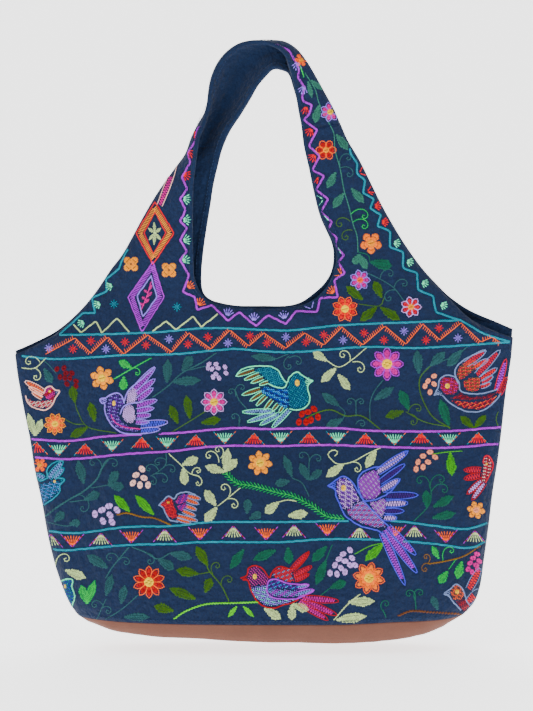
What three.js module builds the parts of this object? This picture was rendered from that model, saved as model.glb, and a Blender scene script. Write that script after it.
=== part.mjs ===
// An embroidered cloth shoulder bag, shown hanging from its strap.
// Two cloth panels rise into arms on each side of a deep U-shaped mouth. One wide band, folded
// lengthwise, joins the arms as the strap. A shallow leather tray is the bottom, and a plain
// lining follows the inside of the panels, the tray and the strap.
// Millimetres. X to the right, Z up, the front faces -Y. The origin is inside the fold of the
// strap, where it lies on a shoulder or a hook.
import * as THREE from "three";
import { mergeVertices } from "three/addons/utils/BufferGeometryUtils.js";

// Sizes that can be set by themselves.
const BODY_WIDTH = 459; // corner to corner, below the mouth
const BODY_HEIGHT = 240; // bottom seam to the corners
const RISE = 280; // corners to the top of the strap
const BASE_DEPTH = 103; // front to back, at the bottom seam
const BASE_SIDE = 18.5; // how far the leather hangs below its seam
const MOUTH_GAPE = 26; // front hem to back hem, at the bottom of the U
const BAND = 27.6; // folded width of the strap where it is narrowest
const FOLD_ROUND = 9; // reach of the rounding at the strap's fold and the arms' outer edges
const FOLD_DEPTH = 5; // deepest soft fold in a panel
const FOLD_WIDTH = 22; // reach of a soft fold to each side
const CLOTH = 1.4; // embroidered cloth
const LINING = 1; // plain inner cloth
const LEATHER = 2;
const CLEARANCE = 0.3; // between any two pieces that touch

// How finely the sheets are divided.
const COLUMNS = 8; // outer edge or fold to mouth
const BODY_ROWS = [0, 0.07, 0.17, 0.3, 0.44, 0.58, 0.71, 0.83, 0.93, 1];

const HALF = BODY_WIDTH / 2;

// A row of numbers becomes an object with named columns.
const table = (names, rows) =>
  rows.map((row) => Object.fromEntries(names.map((name, i) => [name, row[i]])));

// Side outlines of the body. up is a share of BODY_HEIGHT, left and right of HALF.
// depth is a share of BASE_DEPTH / 2.
const BODY = table(["up", "left", "right", "depth"], [
  [0.0, -0.747, 0.808, 1.0],
  [0.04, -0.778, 0.848, 1.02],
  [0.1, -0.806, 0.872, 1.03],
  [0.19, -0.838, 0.886, 1.02],
  [0.31, -0.868, 0.904, 1.0],
  [0.44, -0.892, 0.921, 0.96],
  [0.56, -0.92, 0.942, 0.9],
  [0.68, -0.939, 0.958, 0.82],
  [0.8, -0.964, 0.972, 0.72],
  [0.92, -0.986, 0.992, 0.58],
  [1.0, -0.996, 1.0, 0.5],
]);

// Stations of each arm, from the corner up to the seam with the strap. x is a share of HALF,
// up a share of RISE above the corners. outer is the edge away from the mouth, inner the hem of
// the mouth, and back_ the same on the back panel. notch is how far the two outer edges stand
// apart and shift how far the edge lies behind the middle, in shares of MOUTH_GAPE / 2. gape_f
// and gape_b are the hems' distances from the middle, in the same share. bulge is the belly
// of each layer in shares of BAND.
const ARM_COLUMNS = ["outer_x", "outer_up", "inner_x", "inner_up", "back_outer_x",
  "back_outer_up", "back_inner_x", "back_inner_up", "notch", "shift", "gape_f", "gape_b",
  "bulge_f", "bulge_b"];
const LEFT_ARM = table(ARM_COLUMNS, [
  [-0.996, 0.0, -0.022, 0.151, -0.994, 0.012, -0.022, 0.157, 0.0, 0.0, 1.0, 1.0, 0.9, 0.9],
  [-0.916, 0.03, -0.102, 0.154, -0.92, 0.038, -0.102, 0.158, 0.34, 0.0, 1.0, 1.0, 0.75, 0.75],
  [-0.822, 0.074, -0.17, 0.162, -0.826, 0.079, -0.166, 0.166, 0.3, 0.0, 1.0, 1.0, 0.6, 0.6],
  [-0.737, 0.138, -0.222, 0.177, -0.739, 0.141, -0.216, 0.179, 0.18, 0.0, 1.0, 1.0, 0.5, 0.5],
  [-0.672, 0.204, -0.257, 0.209, -0.672, 0.206, -0.246, 0.205, 0.07, 0.0, 1.0, 1.0, 0.42, 0.42],
  [-0.613, 0.276, -0.279, 0.257, -0.613, 0.276, -0.253, 0.255, 0.0, 0.0, 1.0, 1.0, 0.35, 0.35],
  [-0.556, 0.339, -0.283, 0.322, -0.556, 0.339, -0.246, 0.329, 0.0, 0.0, 1.0, 1.0, 0.3, 0.3],
  [-0.482, 0.448, -0.285, 0.414, -0.482, 0.448, -0.232, 0.414, 0.0, 0.0, 1.04, 0.93, 0.22, 0.2],
  [-0.424, 0.526, -0.284, 0.49, -0.424, 0.526, -0.218, 0.487, 0.0, 0.0, 1.07, 0.79, 0.2, 0.1],
  [-0.366, 0.592, -0.282, 0.559, -0.366, 0.592, -0.204, 0.559, 0.0, 0.12, 1.14, 0.57, 0.22, 0.05],
  [-0.311, 0.648, -0.272, 0.628, -0.311, 0.648, -0.183, 0.628, 0.0, 0.45, 1.18, 0.29, 0.36, 0.0],
]);
const RIGHT_ARM = table(ARM_COLUMNS, [
  [1.0, 0.056, -0.022, 0.151, 0.998, 0.084, -0.022, 0.157, 0.0, 0.0, 1.0, 1.0, 0.9, 0.9],
  [0.932, 0.076, 0.086, 0.154, 0.934, 0.106, 0.086, 0.157, 0.45, 0.0, 1.0, 1.0, 0.75, 0.75],
  [0.834, 0.115, 0.154, 0.163, 0.832, 0.141, 0.152, 0.17, 0.5, 0.0, 1.0, 1.0, 0.6, 0.6],
  [0.754, 0.173, 0.212, 0.187, 0.754, 0.184, 0.201, 0.197, 0.36, 0.0, 1.07, 1.0, 0.5, 0.5],
  [0.698, 0.221, 0.257, 0.227, 0.698, 0.228, 0.246, 0.231, 0.2, 0.0, 1.07, 1.0, 0.42, 0.42],
  [0.639, 0.277, 0.284, 0.273, 0.639, 0.28, 0.275, 0.271, 0.07, 0.0, 1.07, 1.0, 0.35, 0.35],
  [0.588, 0.335, 0.294, 0.319, 0.588, 0.335, 0.285, 0.319, 0.0, 0.0, 1.0, 1.0, 0.3, 0.3],
  [0.539, 0.396, 0.283, 0.366, 0.539, 0.396, 0.276, 0.369, 0.0, 0.0, 0.93, 1.0, 0.25, 0.25],
  [0.477, 0.484, 0.234, 0.451, 0.477, 0.484, 0.232, 0.451, 0.0, 0.0, 0.86, 0.93, 0.2, 0.2],
  [0.427, 0.566, 0.206, 0.533, 0.427, 0.566, 0.206, 0.533, 0.0, 0.0, 0.79, 0.93, 0.18, 0.18],
  [0.383, 0.638, 0.184, 0.612, 0.383, 0.638, 0.186, 0.612, 0.0, 0.0, 0.71, 0.86, 0.16, 0.16],
  [0.337, 0.701, 0.164, 0.684, 0.337, 0.701, 0.168, 0.681, 0.0, 0.0, 0.64, 0.86, 0.15, 0.15],
]);

// Stations of the strap from the left seam to the right one. The fold's place is fold_x in
// shares of HALF, fold_up of RISE and fold_back of BAND behind the middle. The front and back
// hems are given from the fold, and all the rest is in shares of BAND.
const STRAP = table(["fold_x", "fold_up", "fold_back", "front_x", "front_up", "front_back",
  "back_x", "back_up", "back_back", "bulge_f", "bulge_b"], [
  [-0.267, 0.678, 0.4, 0.08, 0.33, -0.93, 0.87, 0.05, -0.4, 0.5, 0.0],
  [-0.226, 0.734, 0.53, -0.09, 0.23, -0.93, 0.77, 0.0, -0.6, 0.45, 0.0],
  [-0.186, 0.786, 0.6, -0.33, 0.2, -0.87, 0.79, 0.0, -0.67, 0.22, 0.05],
  [-0.15, 0.836, 0.6, -0.58, 0.17, -0.8, 0.8, 0.0, -0.67, 0.1, 0.05],
  [-0.116, 0.882, 0.6, -0.77, 0.2, -0.73, 0.77, -0.03, -0.7, 0.08, 0.05],
  [-0.08, 0.934, 0.57, -0.86, 0.17, -0.63, 0.71, -0.27, -0.67, 0.08, 0.05],
  [-0.038, 0.974, 0.5, -0.87, 0.18, -0.5, 0.57, -0.46, -0.6, 0.08, 0.05],
  [0.002, 0.995, 0.4, -0.76, 0.24, -0.4, 0.4, -0.62, -0.47, 0.08, 0.05],
  [0.046, 1.013, 0.3, -0.6, 0.13, -0.4, 0.23, -0.83, -0.23, 0.08, 0.08],
  [0.09, 1.018, 0.2, -0.43, -0.03, -0.47, 0.05, -0.95, 0.07, 0.08, 0.08],
  [0.134, 0.997, 0.1, -0.38, -0.13, -0.47, -0.2, -0.93, 0.27, 0.08, 0.08],
  [0.174, 0.957, 0.03, -0.55, -0.23, -0.4, -0.42, -0.83, 0.37, 0.1, 0.1],
  [0.21, 0.908, 0.0, -0.73, -0.17, -0.33, -0.62, -0.67, 0.4, 0.12, 0.12],
  [0.246, 0.855, 0.0, -0.93, -0.13, -0.3, -0.85, -0.53, 0.4, 0.12, 0.12],
  [0.279, 0.806, 0.0, -1.12, -0.13, -0.3, -1.05, -0.4, 0.4, 0.13, 0.13],
  [0.309, 0.752, 0.0, -1.28, -0.1, -0.3, -1.22, -0.18, 0.4, 0.15, 0.15],
]);

// The bottom seam and the belly below it, from the left end of the tray to the right one.
// along is -1 to 1, and seam and belly are shares of BASE_SIDE downwards.
const KEEL = table(["along", "seam", "belly"], [
  [-1.0, 0.0, 0.0],
  [-0.94, 0.03, 0.26],
  [-0.76, 0.1, 0.585],
  [-0.48, 0.13, 0.75],
  [-0.16, 0.14, 0.84],
  [0.15, 0.145, 0.95],
  [0.38, 0.145, 1.0],
  [0.61, 0.065, 0.985],
  [0.855, 0.05, 0.56],
  [1.0, -0.07, 0.0],
]);

// Rings of the tray from its rim to the middle of its floor: shares of the rim's length and
// depth, and of the belly.
const TRAY = table(["length", "depth", "drop"], [
  [1.0, 1.0, 0.0],
  [0.99, 0.985, 0.5],
  [0.965, 0.94, 0.87],
  [0.93, 0.85, 1.0],
  [0.89, 0.45, 1.0],
  [0.85, 0.0, 1.0],
]);

// Soft folds that dent a panel inwards, each along a line. x is a share of HALF, up of RISE
// above the corners and of BODY_HEIGHT below them. wide and deep are shares of FOLD_WIDTH
// and FOLD_DEPTH.
const FOLDS = table(["x0", "up0", "x1", "up1", "wide", "deep"], [
  [-0.635, 0.25, -0.69, 0.09, 0.5, 0.8],
  [0.655, 0.28, 0.69, 0.1, 0.5, 0.8],
  [-0.8, -0.15, -0.7, -0.85, 1.0, 0.9],
  [0.83, -0.12, 0.74, -0.8, 1.0, 1.0],
  [-0.02, 0.08, 0.0, -0.35, 1.4, 0.7],
  [-0.42, 0.2, -0.3, -0.1, 1.0, 0.6],
  [0.46, 0.2, 0.34, -0.1, 1.0, 0.6],
]);

const lerp = THREE.MathUtils.lerp;
const vector = (x, y, z) => new THREE.Vector3(x, y, z);
const mix = (a, b, t) => a.clone().lerp(b, t);

// A column of a table read along another one, with a smooth curve through its rows.
function along(rows, key, column, at) {
  const last = rows.length - 1;
  let i = 0;
  while (i < last - 1 && rows[i + 1][key] < at) i += 1;
  const span = rows[i + 1][key] - rows[i][key];
  const t = THREE.MathUtils.clamp((at - rows[i][key]) / span, 0, 1);
  const slope = (j) => {
    const [a, b] = [Math.max(j - 1, 0), Math.min(j + 1, last)];
    return (rows[b][column] - rows[a][column]) / (rows[b][key] - rows[a][key]);
  };
  const [a, b] = [rows[i][column], rows[i + 1][column]];
  const [ma, mb] = [slope(i) * span, slope(i + 1) * span];
  const [t2, t3] = [t * t, t * t * t];
  return a * (2 * t3 - 3 * t2 + 1) + ma * (t3 - 2 * t2 + t) + b * (3 * t2 - 2 * t3) + mb * (t3 - t2);
}

const cubic = (p, t) =>
  p[0].clone().multiplyScalar((1 - t) ** 3)
    .addScaledVector(p[1], 3 * t * (1 - t) ** 2)
    .addScaledVector(p[2], 3 * t * t * (1 - t))
    .addScaledVector(p[3], t ** 3);

// One cloth layer across an arm or the strap, from its outer edge or fold to its hem. It leaves
// the edge square to the opening, so that the two layers meet in a round fold.
function layer(edge, hem, outward, bulge) {
  const reach = Math.min(FOLD_ROUND, edge.distanceTo(hem) / 3);
  return [
    edge,
    edge.clone().addScaledVector(outward, reach),
    mix(edge, hem, 2 / 3).addScaledVector(outward, bulge * BAND),
    hem,
  ];
}

const CORNER = -RISE; // height of the corners
const FRONT = 0;
const BACK = 1;

// The two layers at a station of an arm.
function armStation(row) {
  const gape = Math.max(MOUTH_GAPE / 2, CLOTH + LINING + CLEARANCE);
  const place = (x, up, y) => vector(x * HALF, y, CORNER + up * RISE);
  const hems = [
    place(row.inner_x, row.inner_up, -row.gape_f * gape),
    place(row.back_inner_x, row.back_inner_up, row.gape_b * gape),
  ];
  const outward = hems[FRONT].clone().sub(hems[BACK]).normalize();
  const apart = CLEARANCE / 2 + row.notch * gape;
  const edges = [
    place(row.outer_x, row.outer_up, row.shift * gape).addScaledVector(outward, apart),
    place(row.back_outer_x, row.back_outer_up, row.shift * gape).addScaledVector(outward, -apart),
  ];
  return {
    layers: [
      layer(edges[FRONT], hems[FRONT], outward, row.bulge_f),
      layer(edges[BACK], hems[BACK], outward.clone().negate(), row.bulge_b),
    ],
    outward,
  };
}

// The two layers at a station of the strap. seam parts them as two panels that meet.
function strapStation(row, seam) {
  const fold = vector(row.fold_x * HALF, row.fold_back * BAND, CORNER + row.fold_up * RISE);
  const hem = (x, y, z) => fold.clone().add(vector(x, y, z).multiplyScalar(BAND));
  const hems = [
    hem(row.front_x, row.front_back, row.front_up),
    hem(row.back_x, row.back_back, row.back_up),
  ];
  const outward = hems[FRONT].clone().sub(hems[BACK]).normalize();
  const edge = (sign) => fold.clone().addScaledVector(outward, sign * seam);
  return {
    layers: [
      layer(edge(1), hems[FRONT], outward, row.bulge_f),
      layer(edge(-1), hems[BACK], outward.clone().negate(), row.bulge_b),
    ],
    outward,
    fold,
  };
}

// The way into the strap from each of its seams.
const strapEnd = (row, next) => {
  const middle = ({ layers }) => mix(layers[FRONT][3], layers[BACK][3], 0.5).add(layers[FRONT][0]);
  return middle(strapStation(next, 0)).sub(middle(strapStation(row, 0))).normalize();
};
const LEFT_SEAM = strapEnd(STRAP[0], STRAP[1]);
const RIGHT_SEAM = strapEnd(STRAP[STRAP.length - 1], STRAP[STRAP.length - 2]);

// The outward normal across a seam of the strap, which both pieces share there.
function seamNormal(station, face, s, seam) {
  const curve = station.layers[face];
  const from = cubic(curve, Math.max(s - 0.01, 0));
  const n = cubic(curve, Math.min(s + 0.01, 1)).sub(from).cross(seam).normalize();
  const hems = mix(station.layers[FRONT][3], station.layers[BACK][3], 0.5);
  const away = station.layers[face][0].clone().sub(hems);
  const start = station.outward.clone().multiplyScalar(face === FRONT ? 1 : -1).cross(seam);
  return start.dot(away) > 0 ? n : n.negate();
}

// The stations of one arm, ending in the strap's own end.
const arm = (rows, end) => [...rows.map(armStation), strapStation(end, CLEARANCE / 2)];
const LEFT = arm(LEFT_ARM, STRAP[0]);
const RIGHT = arm(RIGHT_ARM, STRAP[STRAP.length - 1]);

// The outward normal at a station's outer edge, which both panels share where they are joined.
function edgeNormal(stations, k) {
  const middle = (i) => mix(stations[i].layers[FRONT][0], stations[i].layers[BACK][0], 0.5);
  const rise = middle(Math.min(k + 1, stations.length - 1)).sub(middle(k - 1));
  const n = stations[k].outward.clone().cross(rise).normalize();
  const hems = mix(stations[k].layers[FRONT][3], stations[k].layers[BACK][3], 0.5);
  return middle(k).sub(hems).dot(n) > 0 ? n : n.negate();
}

// Soft folds at a place on a panel.
function dent(p) {
  const height = (up) => CORNER + up * (up > 0 ? RISE : BODY_HEIGHT);
  let depth = 0;
  for (const fold of FOLDS) {
    const [a, b] = [[fold.x0 * HALF, height(fold.up0)], [fold.x1 * HALF, height(fold.up1)]];
    const [dx, dz] = [b[0] - a[0], b[1] - a[1]];
    const t = THREE.MathUtils.clamp(
      ((p.x - a[0]) * dx + (p.z - a[1]) * dz) / (dx * dx + dz * dz), 0, 1);
    const away = Math.hypot(p.x - a[0] - t * dx, p.z - a[1] - t * dz);
    const edge = THREE.MathUtils.smoothstep(Math.abs(p.y), 1, BASE_DEPTH / 6);
    depth += fold.deep * FOLD_DEPTH * Math.exp(-((away / (fold.wide * FOLD_WIDTH)) ** 2)) * edge;
  }
  return depth;
}

// The panels' surface below the mouth. across runs from -1 at the left seam to 1 at the right.
function bodyPoint(face, across, up) {
  const side = face === FRONT ? -1 : 1;
  const [left, right] = [along(BODY, "up", "left", up), along(BODY, "up", "right", up)];
  const angle = (1 - Math.abs(across)) * (Math.PI / 2);
  const length = Math.sign(across) * Math.cos(angle) ** 0.8;
  const centre = (left + right) / 2;
  const seam = CORNER - BODY_HEIGHT - BASE_SIDE * along(KEEL, "along", "seam", length);
  const depth = (BASE_DEPTH / 2) * along(BODY, "up", "depth", up);
  const low = vector(
    HALF * (centre + (length * (right - left)) / 2),
    side * (CLEARANCE / 2 + depth * Math.sin(angle) ** 0.8),
    0,
  );
  const station = (across < 0 ? LEFT : RIGHT)[0];
  const waist = cubic(station.layers[face], 1 - Math.abs(across));
  const [first, last] = [BODY[BODY.length - 1].left, BODY[BODY.length - 1].right];
  const high = vector(
    HALF * (left + ((waist.x / HALF - first) * (right - left)) / (last - first)),
    waist.y,
    0,
  );
  const share = THREE.MathUtils.smoothstep(up, 0.25, 1);
  const p = mix(low, high, share);
  p.z = lerp(seam, waist.z, up);
  return p;
}

function trayPoint(face, across, ring) {
  const rim = bodyPoint(face, across, 0);
  const side = face === FRONT ? -1 : 1;
  const [left, right] = [BODY[0].left * HALF, BODY[0].right * HALF];
  const centre = (left + right) / 2;
  const x = centre + (rim.x - centre) * ring.length;
  const place = (2 * (x - centre)) / (right - left);
  const seam = BASE_SIDE * along(KEEL, "along", "seam", place);
  const belly = BASE_SIDE * along(KEEL, "along", "belly", place);
  const y = (rim.y - (side * CLEARANCE) / 2) * ring.depth;
  return vector(x, y, CORNER - BODY_HEIGHT - seam - belly * ring.drop);
}

// An open sheet under construction: points and triangles, and for each point the directions in
// which its wall may not lean, because it meets another piece there, or its whole normal.
class Sheet {
  constructor() {
    this.points = [];
    this.square = [];
    this.fixed = [];
    this.depths = [];
    this.triangles = [];
    this.known = new Map();
  }

  point(p, square = [], depth = 0, normal = null) {
    const key = [p.x, p.y, p.z].map((value) => Math.round(value * 1e3)).join();
    if (!this.known.has(key)) {
      this.known.set(key, this.points.length);
      this.points.push(p.clone());
      this.square.push([]);
      this.fixed.push(normal);
      this.depths.push(depth);
    }
    const index = this.known.get(key);
    this.square[index].push(...square);
    this.depths[index] = Math.max(this.depths[index], depth);
    return index;
  }

  // Quads between rows of indices, each split along its shorter diagonal.
  grid(rows, flip) {
    for (let j = 0; j + 1 < rows.length; j += 1) {
      for (let i = 0; i + 1 < rows[j].length; i += 1) {
        const [a, b] = [rows[j][i], rows[j][i + 1]];
        const [d, c] = [rows[j + 1][i], rows[j + 1][i + 1]];
        const far = this.points[a].distanceTo(this.points[c]);
        const near = this.points[b].distanceTo(this.points[d]);
        const pair = far < near ? [[a, b, c], [a, c, d]] : [[a, b, d], [b, c, d]];
        for (const t of pair) {
          if (new Set(t).size === 3) this.triangles.push(flip ? [t[0], t[2], t[1]] : t);
        }
      }
    }
  }

  normals() {
    const normals = this.points.map(() => vector(0, 0, 0));
    for (const [a, b, c] of this.triangles) {
      const [p, q, r] = [this.points[a], this.points[b], this.points[c]];
      const n = q.clone().sub(p).cross(r.clone().sub(p));
      for (const i of [a, b, c]) normals[i].add(n);
    }
    return normals.map((n, i) => {
      if (this.fixed[i]) return this.fixed[i];
      for (const s of this.square[i]) n.addScaledVector(s, -n.dot(s));
      return n.normalize();
    });
  }

  // The closed wall between two depths inside the sheet.
  wall(name, from, thick, material) {
    const normals = this.normals();
    const inside = (depth) => this.points.map((p, i) =>
      p.clone().addScaledVector(normals[i], -depth - this.depths[i]));
    const points = [...inside(from), ...inside(from + thick)];
    const count = this.points.length;
    const faces = [];
    const edges = new Map();
    for (const [a, b, c] of this.triangles) {
      faces.push([a, b, c], [a + count, c + count, b + count]);
      for (const [p, q] of [[a, b], [b, c], [c, a]]) {
        if (!edges.delete(`${q},${p}`)) edges.set(`${p},${q}`, [p, q]);
      }
    }
    for (const [p, q] of edges.values()) {
      faces.push([q, p, p + count], [q, p + count, q + count]);
    }
    const geometry = new THREE.BufferGeometry();
    geometry.setAttribute("position",
      new THREE.Float32BufferAttribute(points.flatMap((p) => p.toArray()), 3));
    geometry.setIndex(faces.flat());
    const whole = mergeVertices(geometry, 1e-4);
    whole.computeVertexNormals();
    const mesh = new THREE.Mesh(whole, material);
    mesh.name = name;
    return mesh;
  }
}

const ACROSS = vector(0, 1, 0);
const UPWARD = vector(0, 0, 1);
const steps = (count) => Array.from({ length: count + 1 }, (_, i) => i / count);

// One panel's surface: the body, both arms and, for the lining, its half of the floor.
function panelSheet(face, floor) {
  const sheet = new Sheet();
  const side = face === FRONT ? -1 : 1;
  const flip = face === BACK;
  const soft = (p, hold) => {
    const q = p.clone();
    q.y -= side * dent(p) * hold;
    return q;
  };
  const columns = [...steps(COLUMNS).map((s) => s - 1), ...steps(COLUMNS).slice(1)];
  const rows = BODY_ROWS.map((up) => columns.map((across) => {
    const square = Math.abs(across) === 1 ? [ACROSS] : [];
    if (up === 0 && !floor) square.push(UPWARD);
    const hold = THREE.MathUtils.smoothstep(up, 0, 0.3);
    const extra = floor && up === 0 ? LEATHER - CLOTH : 0;
    return sheet.point(soft(bodyPoint(face, across, up), hold), square, extra);
  }));
  sheet.grid(rows, flip);
  for (const [stations, sign, seam] of [[LEFT, -1, LEFT_SEAM], [RIGHT, 1, RIGHT_SEAM]]) {
    const armRows = stations.map((station, k) => steps(COLUMNS).map((s) => {
      if (k === 0) return rows[rows.length - 1][COLUMNS + sign * Math.round(COLUMNS * (1 - s))];
      let normal = s === 0 ? edgeNormal(stations, k) : null;
      if (k === stations.length - 1) normal = seamNormal(station, face, s, seam);
      const top = THREE.MathUtils.smoothstep(stations.length - 1 - k, 0, 3);
      return sheet.point(soft(cubic(station.layers[face], s), top), [], 0, normal);
    }));
    sheet.grid(armRows, flip !== sign > 0);
  }
  if (floor) {
    const rings = TRAY.map((ring, k) => columns.map((across) => {
      if (k === 0) return rows[0][Math.round((across + 1) * COLUMNS)];
      const p = trayPoint(face, across, ring);
      p.y += (side * CLEARANCE) / 2;
      p.z -= CLEARANCE;
      const edge = Math.abs(across) === 1 || ring.depth === 0;
      return sheet.point(p, edge ? [ACROSS] : [], LEATHER - CLOTH);
    }));
    sheet.grid(rings, !flip);
  }
  return sheet;
}

function traySheet() {
  const sheet = new Sheet();
  for (const face of [FRONT, BACK]) {
    const columns = [...steps(COLUMNS).map((s) => s - 1), ...steps(COLUMNS).slice(1)];
    const rings = TRAY.map((ring, k) => columns.map((across) => {
      const p = trayPoint(face, across, ring);
      p.z -= CLEARANCE;
      return sheet.point(p, k === 0 ? [UPWARD] : []);
    }));
    sheet.grid(rings, face === FRONT);
  }
  return sheet;
}

function strapSheet() {
  const sheet = new Sheet();
  const last = STRAP.length - 1;
  const rows = STRAP.map((row, k) => {
    const station = strapStation(row, 0);
    const end = { 0: LEFT_SEAM, [last]: RIGHT_SEAM }[k];
    const place = (face) => (s) => {
      const p = cubic(station.layers[face], s);
      if (!end) return sheet.point(p);
      return sheet.point(p.addScaledVector(end, CLEARANCE), [], 0, seamNormal(station, face, s, end));
    };
    const [front, back] = [place(FRONT), place(BACK)];
    return [...steps(COLUMNS).reverse().map(front), ...steps(COLUMNS).slice(1).map(back)];
  });
  sheet.grid(rows, true);
  return sheet;
}

const embroidered = new THREE.MeshStandardMaterial({ color: 0x1e3456, roughness: 0.95 });
const plain = new THREE.MeshStandardMaterial({ color: 0x16304f, roughness: 0.95 });
const leather = new THREE.MeshStandardMaterial({ color: 0x9c6553, roughness: 0.7 });

const LINED = CLOTH + CLEARANCE;
const group = new THREE.Group();
group.add(
  panelSheet(FRONT, false).wall("front_panel", 0, CLOTH, embroidered),
  panelSheet(BACK, false).wall("back_panel", 0, CLOTH, embroidered),
  strapSheet().wall("shoulder_strap", 0, CLOTH, embroidered),
  traySheet().wall("leather_base", 0, LEATHER, leather),
  panelSheet(FRONT, true).wall("front_lining", LINED, LINING, plain),
  panelSheet(BACK, true).wall("back_lining", LINED, LINING, plain),
  strapSheet().wall("strap_lining", LINED, LINING, plain),
);

export default group;
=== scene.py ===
"""An embroidered cloth shoulder bag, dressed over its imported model.

Two cloth panels rise into arms on each side of a U-shaped mouth, one folded band joins the
arms, and a shallow leather tray is the bottom. The cloth, linings, hems, seams and leather
are sheets worked out from the same tables as the solids. The embroidery is drawn on a flat
chart in plain motifs and sewn through it on to the cloth, and each stitch is a small padded
thread of its own. Metres, X to the right, Z up, and the front faces -Y.
"""

import math

import bmesh
import bpy
import numpy as np
from bpy.props import FloatProperty, FloatVectorProperty, PointerProperty
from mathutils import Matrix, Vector, noise
from mathutils.bvhtree import BVHTree


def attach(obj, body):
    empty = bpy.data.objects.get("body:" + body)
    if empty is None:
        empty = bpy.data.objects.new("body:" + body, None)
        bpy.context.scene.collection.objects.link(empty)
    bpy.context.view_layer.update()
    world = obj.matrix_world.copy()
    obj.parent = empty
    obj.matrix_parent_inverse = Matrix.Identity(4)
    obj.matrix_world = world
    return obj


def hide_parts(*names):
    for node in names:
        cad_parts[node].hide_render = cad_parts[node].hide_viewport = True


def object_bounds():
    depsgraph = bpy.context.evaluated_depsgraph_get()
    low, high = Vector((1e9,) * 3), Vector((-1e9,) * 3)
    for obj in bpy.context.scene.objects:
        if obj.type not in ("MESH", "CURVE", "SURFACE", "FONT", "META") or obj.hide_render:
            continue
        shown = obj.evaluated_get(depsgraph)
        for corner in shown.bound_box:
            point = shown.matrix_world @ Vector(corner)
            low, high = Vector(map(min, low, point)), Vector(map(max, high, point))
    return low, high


bl_info = {
    "name": "Embroidered Shoulder Bag",
    "version": (1, 0, 0),
    "blender": (4, 5, 0),
    "location": "3D View > Sidebar > Bag",
    "description": "Cloth, leather and folk embroidery for a hanging shoulder bag",
    "category": "Add Mesh",
}

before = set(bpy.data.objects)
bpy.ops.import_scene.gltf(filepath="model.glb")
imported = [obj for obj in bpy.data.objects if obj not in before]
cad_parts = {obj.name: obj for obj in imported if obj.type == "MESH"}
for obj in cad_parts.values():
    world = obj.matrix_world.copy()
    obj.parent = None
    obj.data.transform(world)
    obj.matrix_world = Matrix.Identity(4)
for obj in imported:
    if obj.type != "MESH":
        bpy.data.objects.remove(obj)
CAD_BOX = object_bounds()

FRONT, BACK = 0, 1
# Which way a face looks along Y.
SIDE = (-1, 1)


# Tables of the bag's form, in shares of the named sizes, as the solids have them


def table(names, rows):
    """A dictionary of columns from a table's rows."""
    return {name: np.array(values, float) for name, values in zip(names.split(), zip(*rows))}


# Side outlines of the body. up is a share of the body's height, left and right of half its
# width and depth of half the base's depth.
BODY = table("up left right depth", (
    (0.0, -0.747, 0.808, 1.0),
    (0.04, -0.778, 0.848, 1.02),
    (0.1, -0.806, 0.872, 1.03),
    (0.19, -0.838, 0.886, 1.02),
    (0.31, -0.868, 0.904, 1.0),
    (0.44, -0.892, 0.921, 0.96),
    (0.56, -0.92, 0.942, 0.9),
    (0.68, -0.939, 0.958, 0.82),
    (0.8, -0.964, 0.972, 0.72),
    (0.92, -0.986, 0.992, 0.58),
    (1.0, -0.996, 1.0, 0.5),
))

# Stations of each arm, from the corner up to the strap's seam. x is a share of half the
# width, up of the rise above the corners. outer is the edge away from the mouth, inner the
# mouth's hem and back_ the same on the back panel. notch is how far the two outer edges stand
# apart, shift how far they lie behind the middle, and gape_ the hems' distances from the
# middle, in shares of half the mouth's gape. bulge_ is the belly of each layer in bands.
ARM_COLUMNS = (
    "outer_x outer_up inner_x inner_up back_outer_x back_outer_up back_inner_x back_inner_up "
    "notch shift gape_f gape_b bulge_f bulge_b"
)
LEFT_ARM = table(ARM_COLUMNS, (
    (-0.996, 0.0, -0.022, 0.151, -0.994, 0.012, -0.022, 0.157, 0.0, 0.0, 1.0, 1.0, 0.9, 0.9),
    (-0.916, 0.03, -0.102, 0.154, -0.92, 0.038, -0.102, 0.158, 0.34, 0.0, 1.0, 1.0, 0.75, 0.75),
    (-0.822, 0.074, -0.17, 0.162, -0.826, 0.079, -0.166, 0.166, 0.3, 0.0, 1.0, 1.0, 0.6, 0.6),
    (-0.737, 0.138, -0.222, 0.177, -0.739, 0.141, -0.216, 0.179, 0.18, 0.0, 1.0, 1.0, 0.5, 0.5),
    (-0.672, 0.204, -0.257, 0.209, -0.672, 0.206, -0.246, 0.205, 0.07, 0.0, 1.0, 1.0, 0.42, 0.42),
    (-0.613, 0.276, -0.279, 0.257, -0.613, 0.276, -0.253, 0.255, 0.0, 0.0, 1.0, 1.0, 0.35, 0.35),
    (-0.556, 0.339, -0.283, 0.322, -0.556, 0.339, -0.246, 0.329, 0.0, 0.0, 1.0, 1.0, 0.3, 0.3),
    (-0.482, 0.448, -0.285, 0.414, -0.482, 0.448, -0.232, 0.414, 0.0, 0.0, 1.04, 0.93, 0.22, 0.2),
    (-0.424, 0.526, -0.284, 0.49, -0.424, 0.526, -0.218, 0.487, 0.0, 0.0, 1.07, 0.79, 0.2, 0.1),
    (-0.366, 0.592, -0.282, 0.559, -0.366, 0.592, -0.204, 0.559, 0.0, 0.12, 1.14, 0.57, 0.22, 0.05),
    (-0.311, 0.648, -0.272, 0.628, -0.311, 0.648, -0.183, 0.628, 0.0, 0.45, 1.18, 0.29, 0.36, 0.0),
))
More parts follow.
